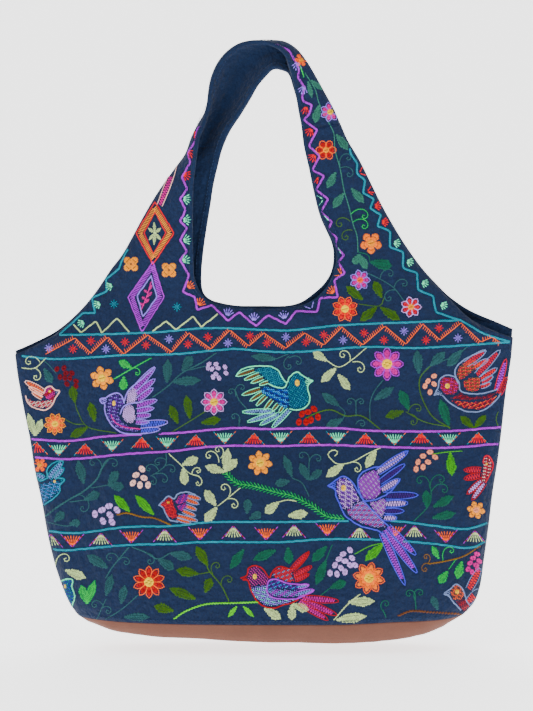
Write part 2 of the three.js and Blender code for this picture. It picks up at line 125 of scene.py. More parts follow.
RIGHT_ARM = table(ARM_COLUMNS, (
    (1.0, 0.056, -0.022, 0.151, 0.998, 0.084, -0.022, 0.157, 0.0, 0.0, 1.0, 1.0, 0.9, 0.9),
    (0.932, 0.076, 0.086, 0.154, 0.934, 0.106, 0.086, 0.157, 0.45, 0.0, 1.0, 1.0, 0.75, 0.75),
    (0.834, 0.115, 0.154, 0.163, 0.832, 0.141, 0.152, 0.17, 0.5, 0.0, 1.0, 1.0, 0.6, 0.6),
    (0.754, 0.173, 0.212, 0.187, 0.754, 0.184, 0.201, 0.197, 0.36, 0.0, 1.07, 1.0, 0.5, 0.5),
    (0.698, 0.221, 0.257, 0.227, 0.698, 0.228, 0.246, 0.231, 0.2, 0.0, 1.07, 1.0, 0.42, 0.42),
    (0.639, 0.277, 0.284, 0.273, 0.639, 0.28, 0.275, 0.271, 0.07, 0.0, 1.07, 1.0, 0.35, 0.35),
    (0.588, 0.335, 0.294, 0.319, 0.588, 0.335, 0.285, 0.319, 0.0, 0.0, 1.0, 1.0, 0.3, 0.3),
    (0.539, 0.396, 0.283, 0.366, 0.539, 0.396, 0.276, 0.369, 0.0, 0.0, 0.93, 1.0, 0.25, 0.25),
    (0.477, 0.484, 0.234, 0.451, 0.477, 0.484, 0.232, 0.451, 0.0, 0.0, 0.86, 0.93, 0.2, 0.2),
    (0.427, 0.566, 0.206, 0.533, 0.427, 0.566, 0.206, 0.533, 0.0, 0.0, 0.79, 0.93, 0.18, 0.18),
    (0.383, 0.638, 0.184, 0.612, 0.383, 0.638, 0.186, 0.612, 0.0, 0.0, 0.71, 0.86, 0.16, 0.16),
    (0.337, 0.701, 0.164, 0.684, 0.337, 0.701, 0.168, 0.681, 0.0, 0.0, 0.64, 0.86, 0.15, 0.15),
))

# Stations of the strap from the left seam to the right one: the fold's place, the front and
# back hems from the fold, and the bellies, all but the first two columns in bands.
STRAP = table(
    "fold_x fold_up fold_back front_x front_up front_back back_x back_up back_back "
    "bulge_f bulge_b", (
    (-0.267, 0.678, 0.4, 0.08, 0.33, -0.93, 0.87, 0.05, -0.4, 0.5, 0.0),
    (-0.226, 0.734, 0.53, -0.09, 0.23, -0.93, 0.77, 0.0, -0.6, 0.45, 0.0),
    (-0.186, 0.786, 0.6, -0.33, 0.2, -0.87, 0.79, 0.0, -0.67, 0.22, 0.05),
    (-0.15, 0.836, 0.6, -0.58, 0.17, -0.8, 0.8, 0.0, -0.67, 0.1, 0.05),
    (-0.116, 0.882, 0.6, -0.77, 0.2, -0.73, 0.77, -0.03, -0.7, 0.08, 0.05),
    (-0.08, 0.934, 0.57, -0.86, 0.17, -0.63, 0.71, -0.27, -0.67, 0.08, 0.05),
    (-0.038, 0.974, 0.5, -0.87, 0.18, -0.5, 0.57, -0.46, -0.6, 0.08, 0.05),
    (0.002, 0.995, 0.4, -0.76, 0.24, -0.4, 0.4, -0.62, -0.47, 0.08, 0.05),
    (0.046, 1.013, 0.3, -0.6, 0.13, -0.4, 0.23, -0.83, -0.23, 0.08, 0.08),
    (0.09, 1.018, 0.2, -0.43, -0.03, -0.47, 0.05, -0.95, 0.07, 0.08, 0.08),
    (0.134, 0.997, 0.1, -0.38, -0.13, -0.47, -0.2, -0.93, 0.27, 0.08, 0.08),
    (0.174, 0.957, 0.03, -0.55, -0.23, -0.4, -0.42, -0.83, 0.37, 0.1, 0.1),
    (0.21, 0.908, 0.0, -0.73, -0.17, -0.33, -0.62, -0.67, 0.4, 0.12, 0.12),
    (0.246, 0.855, 0.0, -0.93, -0.13, -0.3, -0.85, -0.53, 0.4, 0.12, 0.12),
    (0.279, 0.806, 0.0, -1.12, -0.13, -0.3, -1.05, -0.4, 0.4, 0.13, 0.13),
    (0.309, 0.752, 0.0, -1.28, -0.1, -0.3, -1.22, -0.18, 0.4, 0.15, 0.15),
))

# The bottom seam and the belly below it, in shares of the leather's hang.
KEEL = table("along seam belly", (
    (-1.0, 0.0, 0.0),
    (-0.94, 0.03, 0.26),
    (-0.76, 0.1, 0.585),
    (-0.48, 0.13, 0.75),
    (-0.16, 0.14, 0.84),
    (0.15, 0.145, 0.95),
    (0.38, 0.145, 1.0),
    (0.61, 0.065, 0.985),
    (0.855, 0.05, 0.56),
    (1.0, -0.07, 0.0),
))

# Rings of the leather tray from its rim to the middle of its floor.
TRAY = table("length depth drop", (
    (1.0, 1.0, 0.0),
    (0.99, 0.985, 0.5),
    (0.965, 0.94, 0.87),
    (0.93, 0.85, 1.0),
    (0.89, 0.45, 1.0),
    (0.85, 0.0, 1.0),
))

# Soft folds that dent a panel inwards along a line.
FOLDS = table("x0 up0 x1 up1 wide deep", (
    (-0.635, 0.25, -0.69, 0.09, 0.5, 0.8),
    (0.655, 0.28, 0.69, 0.1, 0.5, 0.8),
    (-0.8, -0.15, -0.7, -0.85, 1.0, 0.9),
    (0.83, -0.12, 0.74, -0.8, 1.0, 1.0),
    (-0.02, 0.08, 0.0, -0.35, 1.4, 0.7),
    (-0.42, 0.2, -0.3, -0.1, 1.0, 0.6),
    (0.46, 0.2, 0.34, -0.1, 1.0, 0.6),
))


# Sizes and colours that a user would change


def length(name, description, default):
    """A length that a user may set, in metres."""
    return FloatProperty(
        name=name, description=description, default=default, min=0.0, unit="LENGTH")


def colour(name, description, default):
    """A colour that a user may set, given as its 8-bit sRGB value."""
    return FloatVectorProperty(
        name=name, description=description, default=linear(default), size=3,
        min=0.0, max=1.0, subtype="COLOR")


def linear(rgb):
    """Linear colour from 8-bit sRGB."""
    return tuple(
        c / 12.92 if c <= 0.04045 else ((c + 0.055) / 1.055) ** 2.4
        for c in (value / 255 for value in rgb))


class BagSizes(bpy.types.PropertyGroup):
    """The bag's sizes"""

    body_width: length("Body width", "Corner to corner, below the mouth", 0.459)
    body_height: length("Body height", "Bottom seam to the corners", 0.240)
    rise: length("Rise", "Corners to the top of the strap", 0.280)
    base_depth: length("Base depth", "Front to back at the bottom seam", 0.103)
    base_side: length("Leather hang", "How far the leather hangs below its seam", 0.0185)
    mouth_gape: length("Mouth gape", "Front hem to back hem at the mouth's bottom", 0.026)
    band: length("Strap band", "Folded width of the strap", 0.0276)
    fold_round: length("Fold rounding", "Reach of the rounding at folds", 0.009)
    fold_depth: length("Fold depth", "Deepest soft fold in a panel", 0.005)
    fold_width: length("Fold width", "Reach of a soft fold to each side", 0.022)
    ripple: length("Ripple", "Height of the cloth's own waviness", 0.0011)
    cloth: length("Cloth", "Thickness of the embroidered cloth", 0.0014)
    lining: length("Lining", "Thickness of the inner cloth", 0.001)
    leather: length("Leather", "Thickness of the leather", 0.002)
    clearance: length("Clearance", "Gap between pieces that touch", 0.0003)
    hem_width: length("Hem width", "Width of the turned hem inside the mouth", 0.0052)
    thread: length("Thread", "Radius of a padded embroidery stitch", 0.0005)


class BagColours(bpy.types.PropertyGroup):
    """The bag's ground colours"""

    cloth: colour("Cloth", "Dark indigo cotton", (13, 29, 58))
    plain: colour("Lining", "Plain indigo cotton inside", (13, 30, 58))
    leather: colour("Leather", "Soft pinkish-brown leather", (108, 64, 48))
    backdrop: colour("Backdrop", "Floor and backdrop", (250, 250, 250))


class BagStage(bpy.types.PropertyGroup):
    """The camera's place and the floor"""

    distance: length("Camera distance", "From the bag's middle", 2.4)
    elevation: FloatProperty(
        name="Elevation", description="Camera height as an angle", default=math.radians(3.0),
        subtype="ANGLE")
    aim_x: FloatProperty(
        name="Aim X", description="Where the camera looks, to the right", default=0.00276,
        unit="LENGTH")
    aim_z: FloatProperty(
        name="Aim Z", description="Where the camera looks, upwards", default=-0.281,
        unit="LENGTH")
    unit: length("Chart unit", "One unit of the embroidery chart on the bag", 0.00092)
    floor_gap: length("Floor gap", "From the bag's bottom down to the floor", 0.010)


# The cloth's surface


def along(keys, values, at):
    """A smooth curve through the rows of a table, read at any places between them."""
    at = np.asarray(at, float)
    last = len(keys) - 1
    rows = np.arange(last + 1)
    below, above = np.maximum(rows - 1, 0), np.minimum(rows + 1, last)

    def wide(a):
        return a.reshape(a.shape + (1,) * (values.ndim - 1))

    slopes = (values[above] - values[below]) / wide(keys[above] - keys[below])
    i = np.searchsorted(keys[1:-1], at, side="left")
    span = keys[i + 1] - keys[i]
    t = wide(np.clip((at - keys[i]) / span, 0, 1))
    span = wide(span)
    return (
        values[i] * (2 * t**3 - 3 * t**2 + 1) + slopes[i] * span * (t**3 - 2 * t**2 + t)
        + values[i + 1] * (3 * t**2 - 2 * t**3) + slopes[i + 1] * span * (t**3 - t**2))


def smoothstep(x, low, high):
    t = np.clip((np.asarray(x, float) - low) / (high - low), 0, 1)
    return t * t * (3 - 2 * t)


def cubic(p, t):
    """Points of the curves whose four controls are p's last axis but one."""
    t = np.asarray(t, float)[..., None]
    return (
        p[..., 0, :] * (1 - t) ** 3 + p[..., 1, :] * 3 * t * (1 - t) ** 2
        + p[..., 2, :] * 3 * t * t * (1 - t) + p[..., 3, :] * t**3)


def unit(v):
    return v / np.maximum(np.linalg.norm(v, axis=-1, keepdims=True), 1e-12)


def xyz(x, y, z):
    return np.stack(np.broadcast_arrays(x, y, z), axis=-1).astype(float)


class BagForm:
    """The bag's outer cloth surface, worked out from its sizes and the tables."""

    HALF_COLUMNS = 34  # from an outer edge or fold to the mouth
    BODY_ROWS = 56
    ROWS_A_STATION = 6

    def __init__(self, sizes):
        self.s = sizes
        self.half = sizes.body_width / 2
        self.corner = -sizes.rise
        self.gape = max(sizes.mouth_gape / 2, sizes.cloth + sizes.lining + sizes.clearance)
        strap = self.strap_controls()
        left, right = self.arm_controls(LEFT_ARM), self.arm_controls(RIGHT_ARM)
        # Each part is sampled with its neighbour's first station, so that seams are smooth.
        self.controls = {
            "left": np.concatenate([left, strap[:2]]),
            "right": np.concatenate([right, strap[:-3:-1]]),
            "strap": np.concatenate([left[-1:], strap, right[-1:]]),
        }
        self.waist = {"left": left[0], "right": right[0]}

    def layer(self, edge, hem, outward, bulge):
        """One cloth layer across an arm or the strap, leaving its outer edge squarely."""
        reach = np.minimum(self.s.fold_round, np.linalg.norm(edge - hem, axis=-1) / 3)
        return np.stack([
            edge,
            edge + outward * reach[:, None],
            edge + (hem - edge) * 2 / 3 + outward * (bulge * self.s.band)[:, None],
            hem,
        ], axis=1)

    def arm_controls(self, rows):
        def place(x, up, y):
            return xyz(x * self.half, y, self.corner + up * self.s.rise)

        front = place(rows["inner_x"], rows["inner_up"], -rows["gape_f"] * self.gape)
        back = place(rows["back_inner_x"], rows["back_inner_up"], rows["gape_b"] * self.gape)
        outward = unit(front - back)
        apart = (self.s.clearance / 2 + rows["notch"] * self.gape)[:, None] * outward
        shift = rows["shift"] * self.gape
        edge_f = place(rows["outer_x"], rows["outer_up"], shift) + apart
        edge_b = place(rows["back_outer_x"], rows["back_outer_up"], shift) - apart
        return np.stack([
            self.layer(edge_f, front, outward, rows["bulge_f"]),
            self.layer(edge_b, back, -outward, rows["bulge_b"]),
        ], axis=1)

    def strap_controls(self):
        rows = STRAP
        fold = xyz(rows["fold_x"] * self.half, rows["fold_back"] * self.s.band,
                   self.corner + rows["fold_up"] * self.s.rise)
        front = fold + self.s.band * xyz(rows["front_x"], rows["front_back"], rows["front_up"])
        back = fold + self.s.band * xyz(rows["back_x"], rows["back_back"], rows["back_up"])
        outward = unit(front - back)
        return np.stack([
            self.layer(fold, front, outward, rows["bulge_f"]),
            self.layer(fold, back, -outward, rows["bulge_b"]),
        ], axis=1)

    def stations(self, part):
        """Row numbers at which a part is sampled."""
        count = len(self.controls[part])
        first = 1 if part == "strap" else 0
        spans = count - 2 - first
        return np.linspace(first, count - 2, spans * self.ROWS_A_STATION + 1)

    def sampled(self, part, at):
        controls = self.controls[part]
        return along(np.arange(len(controls), dtype=float), controls, at)

    def dent(self, p):
        """How deep the soft folds are at places on a panel."""
        def height(up):
            return self.corner + up * np.where(up > 0, self.s.rise, self.s.body_height)

        edge = smoothstep(np.abs(p[..., 1]), 0.001, self.s.base_depth / 6)
        depth = np.zeros(p.shape[:-1])
        ends = zip(FOLDS["x0"] * self.half, height(FOLDS["up0"]), FOLDS["x1"] * self.half,
                   height(FOLDS["up1"]), FOLDS["wide"], FOLDS["deep"])
        for x0, z0, x1, z1, wide, deep in ends:
            dx, dz = x1 - x0, z1 - z0
            t = np.clip(((p[..., 0] - x0) * dx + (p[..., 2] - z0) * dz) / (dx * dx + dz * dz), 0, 1)
            away = np.hypot(p[..., 0] - x0 - t * dx, p[..., 2] - z0 - t * dz)
            depth += deep * self.s.fold_depth * np.exp(
                -((away / (wide * self.s.fold_width)) ** 2)) * edge
        return depth - self.waves(p) * edge

    def waves(self, p):
        """The cloth's own waviness, the same on every run."""
        flat = p.reshape(-1, 3)
        side = np.where(flat[:, 1] > 0, 7.3, 0.0)
        out = np.empty(len(flat))
        for n, (x, _, z) in enumerate(flat):
            broad = noise.noise(Vector((x * 16, side[n], z * 11)))
            fine = noise.noise(Vector((x * 46 + z * 9, side[n] + 3.1, z * 30)))
            out[n] = broad + 0.42 * fine
        return (out * self.s.ripple * 1.7).reshape(p.shape[:-1])

    def soften(self, p, face, hold):
        q = p.copy()
        q[..., 1] -= SIDE[face] * self.dent(p) * hold
        return q

    def body(self, face, across, up):
        """The panels' surface below the mouth. across runs from the left seam to the right."""
        side = SIDE[face]
        left = along(BODY["up"], BODY["left"], up)
        right = along(BODY["up"], BODY["right"], up)
        angle = (1 - np.abs(across)) * (math.pi / 2)
        reach = np.sign(across) * np.cos(angle).clip(0) ** 0.8
        seam = (self.corner - self.s.body_height
                - self.s.base_side * along(KEEL["along"], KEEL["seam"], reach))
        depth = self.s.base_depth / 2 * along(BODY["up"], BODY["depth"], up)
        low = xyz(self.half * ((left + right) / 2 + reach * (right - left) / 2),
                  side * (self.s.clearance / 2 + depth * np.sin(angle) ** 0.8), 0.0)
        waist = np.where((across < 0)[..., None],
                         cubic(self.waist["left"][face], 1 - np.abs(across)),
                         cubic(self.waist["right"][face], 1 - np.abs(across)))
        first, last = BODY["left"][-1], BODY["right"][-1]
        share = smoothstep(up, 0.25, 1)
        x = self.half * (left + (waist[..., 0] / self.half - first) * (right - left) / (last - first))
        p = low.copy()
        p[..., 0] += (x - low[..., 0]) * share
        p[..., 1] += (waist[..., 1] - low[..., 1]) * share
        p[..., 2] = seam + (waist[..., 2] - seam) * up
        return p

    def body_grid(self, face):
        across = np.linspace(-1, 1, 2 * self.HALF_COLUMNS + 1)[None, :]
        up = np.linspace(0, 1, self.BODY_ROWS + 1)[:, None]
        across, up = np.broadcast_arrays(across, up)
        return self.soften(self.body(face, across, up), face, smoothstep(up, 0, 0.3))

    def arm_grid(self, part, face):
        at = self.stations(part)
        curves = self.sampled(part, at)[:, face]
        s = np.linspace(0, 1, self.HALF_COLUMNS + 1)
        p = cubic(curves[:, None], s[None, :])
        hold = smoothstep(at[-1] - at, 0, 3)[:, None]
        return self.soften(p, face, hold)

    def strap_grid(self):
        curves = self.sampled("strap", self.stations("strap"))
        s = np.linspace(0, 1, self.HALF_COLUMNS + 1)
        front = cubic(curves[:, FRONT][:, None], s[None, ::-1])
        back = cubic(curves[:, BACK][:, None], s[None, 1:])
        return np.concatenate([front, back], axis=1)

    def tray(self, face, across, ring):
        """The leather tray, from its rim to the middle of its floor."""
        side = SIDE[face]
        rim = self.body(face, across, np.zeros_like(across))
        left, right = BODY["left"][0] * self.half, BODY["right"][0] * self.half
        centre = (left + right) / 2
        rows = np.arange(len(TRAY["length"]), dtype=float)
        x = centre + (rim[..., 0] - centre) * along(rows, TRAY["length"], ring)
        place = 2 * (x - centre) / (right - left)
        y = (rim[..., 1] - side * self.s.clearance / 2) * along(rows, TRAY["depth"], ring)
        z = (self.corner - self.s.body_height
             - self.s.base_side * along(KEEL["along"], KEEL["seam"], place)
             - self.s.base_side * along(KEEL["along"], KEEL["belly"], place)
             * along(rows, TRAY["drop"], ring).clip(0, 1))
        return xyz(x, y, z)

    def tray_grid(self, face, rings):
        across = np.linspace(-1, 1, 2 * self.HALF_COLUMNS + 1)[None, :]
        ring = np.linspace(0, len(TRAY["drop"]) - 1, rings + 1)[:, None]
        across, ring = np.broadcast_arrays(across, ring)
        return self.tray(face, across, ring)

    def hem(self, face):
        """The mouth's whole hem on one face: its points, and the ways into and out of the cloth."""
        rows = [
            self.arm_grid("left", face)[:, ::-1],
            self.strap_rows(face)[1:],
            self.arm_grid("right", face)[::-1, ::-1][1:-1],
        ]
        ring = np.concatenate(rows)
        centres, down = ring[:, 0], unit(ring[:, 1] - ring[:, 0])
        tangent = unit(np.roll(centres, -1, 0) - np.roll(centres, 1, 0))
        return centres, down, unit(np.cross(tangent, down)) * -SIDE[face]

    def strap_rows(self, face):
        grid = self.strap_grid()
        return grid[:, : self.HALF_COLUMNS + 1] if face == FRONT else grid[:, self.HALF_COLUMNS:][:, ::-1]


# Making sheets


# Points of a sheet that lie this near each other are one.
WELD = 2e-5


def add_grid(bm, points):
    """A grid of the bmesh moved on to an array of points, rows by columns."""
    rows, columns = points.shape[0] - 1, points.shape[1] - 1
    made = bmesh.ops.create_grid(bm, x_segments=columns, y_segments=rows, size=1.0)
    for v in made["verts"]:
        i = round((v.co.x + 1) / 2 * columns)
        j = round((v.co.y + 1) / 2 * rows)
        v.co = points[j, i]


def weld(bm):
    bmesh.ops.remove_doubles(bm, verts=bm.verts, dist=WELD)
    bmesh.ops.dissolve_degenerate(bm, edges=bm.edges, dist=1e-6)


def into_object(bm, name, material):
    mesh = bpy.data.meshes.new(name)
    bm.to_mesh(mesh)
    bm.free()
    for f in mesh.polygons:
        f.use_smooth = True
    mesh.materials.append(material)
    made = bpy.data.objects.new(name, mesh)
    bpy.context.scene.collection.objects.link(made)
    return made


def finished(made, replaced=None):
    """A piece rides on the bag's one body and hides the solid that it replaces, if any."""
    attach(made, "root")
    if replaced:
        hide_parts(replaced)


def walled(made, thickness):
    """A sheet becomes a wall, inwards from its outer face."""
    wall = made.modifiers.new("Wall", "SOLIDIFY")
    wall.thickness, wall.offset, wall.use_rim = thickness, -1.0, True
    wall.use_even_offset = False


def swept(bm, centres, along_n, along_d, section):
    """A closed section carried round a closed path, given in its two side directions."""
    ring = np.array([*section, section[0]], float)
    points = (
        centres[:, None]
        + ring[None, :, :1] * along_n[:, None]
        + ring[None, :, 1:] * along_d[:, None])
    add_grid(bm, np.concatenate([points, points[:1]]))
    weld(bm)
    bmesh.ops.recalc_face_normals(bm, faces=bm.faces)


def moved_by(bm, offset):
    """Moves each vertex along its own normal by offset(place)."""
    bm.normal_update()
    moved = [v.co + v.normal * offset(v.co) for v in bm.verts]
    for v, co in zip(bm.verts, moved):
        v.co = co


# Where the body and the arms are smoothed into each other, above the corners.
WAIST_LIFT, WAIST_REACH, WAIST_ROUNDS = 0.02, 0.07, 10


def panel_bmesh(form, face):
    """One panel: the body and both arms, sewn at the waist into one smooth sheet."""
    bm = bmesh.new()
    add_grid(bm, form.body_grid(face))
    for part in ("left", "right"):
        add_grid(bm, form.arm_grid(part, face))
    weld(bm)
    waist = form.corner + WAIST_LIFT
    near = [v for v in bm.verts if not v.is_boundary and abs(v.co.z - waist) < WAIST_REACH]
    for _ in range(WAIST_ROUNDS):
        bmesh.ops.smooth_vert(bm, verts=near, factor=0.5, use_axis_y=True)
    face_way(bm, lambda f: SIDE[face] * f.normal.y * f.calc_area())
    return bm


def face_way(bm, lean):
    """Turns a sheet's faces all one way, so that the sum of what lean gives isn't below zero."""
    bmesh.ops.recalc_face_normals(bm, faces=bm.faces)
    bm.normal_update()
    if sum(lean(f) for f in bm.faces) < 0:
        bmesh.ops.reverse_faces(bm, faces=bm.faces)
    bm.normal_update()


def strap_bmesh(form):
    bm = bmesh.new()
    grid = form.strap_grid()
    add_grid(bm, grid)
    # Outwards is away from the line half way between the two hems.
    fold = grid[:, form.HALF_COLUMNS]
    hems = (grid[:, 0] + grid[:, -1]) / 2
    middle = (fold + hems) / 2

    def away(f):
        c = f.calc_center_median()
        k = int(np.argmin(((fold - np.array(c)) ** 2).sum(1)))
        return (c - Vector(middle[k])).dot(f.normal)

    face_way(bm, away)
    return bm


def physical_uv(made):
    """A UV map in metres of cloth, projected along each face's own direction."""
    mesh = made.data
    uv = mesh.uv_layers.new(name="cloth").data
    for poly in mesh.polygons:
        n = poly.normal
        sideways = abs(n.x) > 0.75 * max(abs(n.y), abs(n.z), 1e-9) and abs(n.x) > abs(n.z)
        across, up = (0, 1) if abs(n.z) > 0.8 else (1, 2) if sideways else (0, 2)
        for li in poly.loop_indices:
            co = mesh.vertices[mesh.loops[li].vertex_index].co
            uv[li].uv = (co[across], co[up])


# Materials


class Nodes:
    """A short way to add and join shader nodes."""

    def __init__(self, name):
        self.material = bpy.data.materials.new(name)
        self.material.use_nodes = True
        self.tree = self.material.node_tree
        self.shader = self.tree.nodes["Principled BSDF"]

    def add(self, kind, settings=(), **inputs):
        node = self.tree.nodes.new(kind)
        for key, value in dict(settings).items():
            setattr(node, key, value)
        for key, value in inputs.items():
            self.feed(node, key.replace("_", " "), value)
        return node

    def feed(self, node, key, value):
        socket = node.inputs[key]
        if isinstance(value, bpy.types.NodeSocket):
            self.tree.links.new(value, socket)
        else:
            socket.default_value = value

    def noise(self, scale, detail, roughness=0.5):
        """Noise that is fixed to the piece, whatever its UV map."""
        solid = self.add("ShaderNodeTexCoord").outputs["Object"]
        return self.add("ShaderNodeTexNoise", Vector=solid, Scale=scale, Detail=detail,
                        Roughness=roughness).outputs["Fac"]

    def spread(self, value, low, high, to_low, to_high):
        """A value stretched from one range to another."""
        return self.add("ShaderNodeMapRange", Value=value, From_Min=low, From_Max=high,
                        To_Min=to_low, To_Max=to_high).outputs["Result"]

    def mixed(self, factor, low, high):
        """Colour between two colours or sockets."""
        node = self.add("ShaderNodeMix", {"data_type": "RGBA"})
        for key, value in ((0, factor), (6, low), (7, high)):
            self.feed(node, key, value)
        return node.outputs[2]

    def bumps(self, *layers):
        """Bumps on each other, each a height, a strength and a depth in metres."""
        normal = None
        for height, strength, depth in layers:
            node = self.add("ShaderNodeBump", Strength=strength, Distance=depth, Height=height)
            if normal:
                self.feed(node, "Normal", normal)
            normal = node.outputs["Normal"]
        return normal

    def shade(self, **inputs):
        for key, value in inputs.items():
            self.feed(self.shader, key.replace("_", " "), value)
        return self.material


def rgba(rgb, gain=1.0):
    return (*(min(1.0, c * gain) for c in rgb), 1.0)


def weave_material(name, rgb, threads, bump):
    """Plain-woven cotton: crossing threads, slubs and a slight unevenness of the dye."""
    nodes = Nodes(name)
    place = nodes.add("ShaderNodeTexCoord").outputs["UV"]
    crossed = nodes.add("ShaderNodeMath", {"operation": "MULTIPLY"})
    for k, direction in enumerate("XY"):
        wave = nodes.add(
            "ShaderNodeTexWave", {"wave_type": "BANDS", "bands_direction": direction},
            Vector=place, Scale=threads, Distortion=1.2, Detail=2.0, Detail_Scale=0.6)
        nodes.feed(crossed, k, wave.outputs["Fac"])
    weave = crossed.outputs["Value"]
    slub, dye = nodes.noise(420.0, 3.0, 0.7), nodes.noise(26.0, 3.0, 0.6)
    yarn, pucker = nodes.noise(760.0, 2.0, 0.6), nodes.noise(150.0, 2.0)
    tone = nodes.mixed(dye, rgba(rgb, 0.78), rgba(rgb, 1.22))
    tone = nodes.mixed(nodes.spread(yarn, 0.38, 0.62, 0.0, 0.55), tone, rgba(rgb, 2.1))
    tone = nodes.mixed(nodes.spread(slub, 0.52, 0.80, 0.0, 0.5), tone, rgba(rgb, 2.6))
    tone = nodes.mixed(nodes.spread(weave, 0.0, 1.0, 0.35, 0.0), tone, rgba(rgb, 0.45))
    return nodes.shade(
        Base_Color=tone, Roughness=0.92, Specular_IOR_Level=0.14, Sheen_Weight=0.05,
        Sheen_Roughness=0.6,
        Normal=nodes.bumps((weave, bump, 0.0004), (slub, 0.25, 0.0006), (pucker, 1.0, 0.0042)))


def leather_material(name, rgb):
    """Soft matt leather: a fine pebbled grain, creases and a slightly uneven dye."""
    nodes = Nodes(name)
    solid = nodes.add("ShaderNodeTexCoord").outputs["Object"]
    grain = nodes.add("ShaderNodeTexVoronoi", {"feature": "DISTANCE_TO_EDGE"},
                      Vector=solid, Scale=820.0)
    pebble = nodes.spread(grain.outputs["Distance"], 0.0, 0.12, 0.0, 1.0)
    soft, fine = nodes.noise(60.0, 5.0, 0.65), nodes.noise(900.0, 2.0)
    tone = nodes.mixed(soft, rgba(rgb, 0.74), rgba(rgb, 1.28))
    tone = nodes.mixed(pebble, rgba(rgb, 0.8), tone)
    return nodes.shade(
        Base_Color=tone, Roughness=0.62, Specular_IOR_Level=0.35,
        Normal=nodes.bumps((pebble, 0.22, 0.0003), (soft, 0.3, 0.0015), (fine, 0.15, 0.0003)))


def thread_material(name):
    """Dyed embroidery cotton, with each stitch's own colour and the painted shade at its tips and underside.
    """
    nodes = Nodes(name)
    # The attribute carries each stitch's colour together with painted shade at its tips and underside.
    dye = nodes.add("ShaderNodeAttribute", {"attribute_name": "thread_colour_and_shade"})
    return nodes.shade(
        Base_Color=dye.outputs["Color"], Roughness=0.6, Specular_IOR_Level=0.15,
        Normal=nodes.bumps((nodes.noise(2600.0, 2.0), 0.25, 0.0002)))


def backdrop_material(name, rgb, glow):
    """Pale paper that is lit a little from behind."""
    nodes = Nodes(name)
    return nodes.shade(
        Base_Color=rgba(rgb), Roughness=0.9, Specular_IOR_Level=0.2,
        Emission_Color=(1.0, 1.0, 1.0, 1.0), Emission_Strength=glow)


def finish(name, make, *settings):
    """The material of that name, which is made when it is first asked for."""
    return bpy.data.materials.get(name) or make(name, *settings)


def cloth_finish():
    colours = bpy.context.scene.bag_colours
    return finish("indigo_cotton", weave_material, colours.cloth, 420.0, 0.5)


def plain_finish():
    colours = bpy.context.scene.bag_colours
    return finish("lining_cotton", weave_material, colours.plain, 520.0, 0.35)


def leather_finish():
    return finish("base_leather", leather_material, bpy.context.scene.bag_colours.leather)


def thread_finish():
    return finish("embroidery_thread", thread_material)


# The embroidery chart: a flat sheet, in units as wide as one point of the front view

CHART_SIZE = (533.0, 711.0)
# The middle of the mouth, which the tufts along its zigzag point to.
MOUTH = np.array([262.0, 215.0])

# The threads, each with the 8-bit colour that it looks in soft light.
THREADS = {
    "teal": (0, 150, 167), "deep_teal": (0, 118, 145), "mint": (140, 236, 196),
    "aqua": (150, 225, 220), "sky": (105, 175, 235), "blue": (25, 85, 190),
    "night_blue": (28, 34, 120), "powder": (140, 165, 215), "orchid": (186, 92, 214),
    "lavender": (168, 150, 232), "periwinkle": (106, 108, 218), "lilac": (214, 184, 236),
    "violet": (124, 56, 168), "dark_violet": (78, 34, 122), "red": (222, 58, 44),
    "crimson": (172, 36, 54), "wine": (116, 26, 44), "orange": (242, 128, 62),
    "peach": (246, 172, 146), "blush": (246, 208, 200), "gold": (250, 170, 0),
    "yellow": (250, 208, 0), "hot_pink": (210, 8, 158), "magenta": (198, 12, 158),
    "rose": (206, 60, 84), "pale_green": (200, 216, 168), "grey_green": (78, 128, 112),
    "pine": (44, 106, 84), "olive": (76, 108, 40), "leaf": (88, 164, 42),
    "bright_green": (0, 176, 92), "bark": (132, 100, 34), "earth": (112, 76, 52),
    "grey": (142, 156, 190), "slate": (64, 100, 102), "navy": (26, 40, 72),
    "lime": (112, 196, 40), "apricot": (250, 146, 62),
}


def at(text):
    """Points of the chart from text such as '10,20 30,40'."""
    return np.array([[float(n) for n in pair.split(",")] for pair in text.split()])


def chart_eye(stage):
    """The point that the chart is seen from, and the direction of its middle."""
    lift = stage.elevation
    look = Vector((0.0, math.cos(lift), -math.sin(lift)))
    return Vector((stage.aim_x, 0.0, stage.aim_z)) - look * stage.distance, look


def smooth_path(points, fineness=8):
    """A smooth curve through points."""
    rows = np.arange(len(points), dtype=float)
    if len(points) < 3:
        return points
    return along(rows, points, np.linspace(0, len(points) - 1, (len(points) - 1) * fineness + 1))


def even_steps(path, step):
    """The path's points at even distances."""
    run = run_length(path)
    count = max(1, round(run[-1] / step))
    where = np.linspace(0, run[-1], count + 1)
    return np.stack([np.interp(where, run, path[:, k]) for k in (0, 1)], axis=1)


def inside(polygon, p):
    """Whether points lie within a polygon."""
    x, y = p[:, 0], p[:, 1]
    hit = np.zeros(len(p), bool)
    for (x0, y0), (x1, y1) in zip(polygon, np.roll(polygon, -1, 0)):
        crosses = (y0 > y) != (y1 > y)
        with np.errstate(divide="ignore", invalid="ignore"):
            hit ^= crosses & (x < (x1 - x0) * (y - y0) / (y1 - y0) + x0)
    return hit


def pairs(path):
    """Each point of a path with the next one."""
    return zip(path[:-1], path[1:])


def ways(a, b):
    """The direction from a to b, and the one square to it."""
    d = (b - a) / max(np.linalg.norm(b - a), 1e-6)
    return d, np.array([-d[1], d[0]])


def turned(angle):
    """The direction at an angle."""
    return np.array([math.cos(angle), math.sin(angle)])


FAN_RAYS = 6


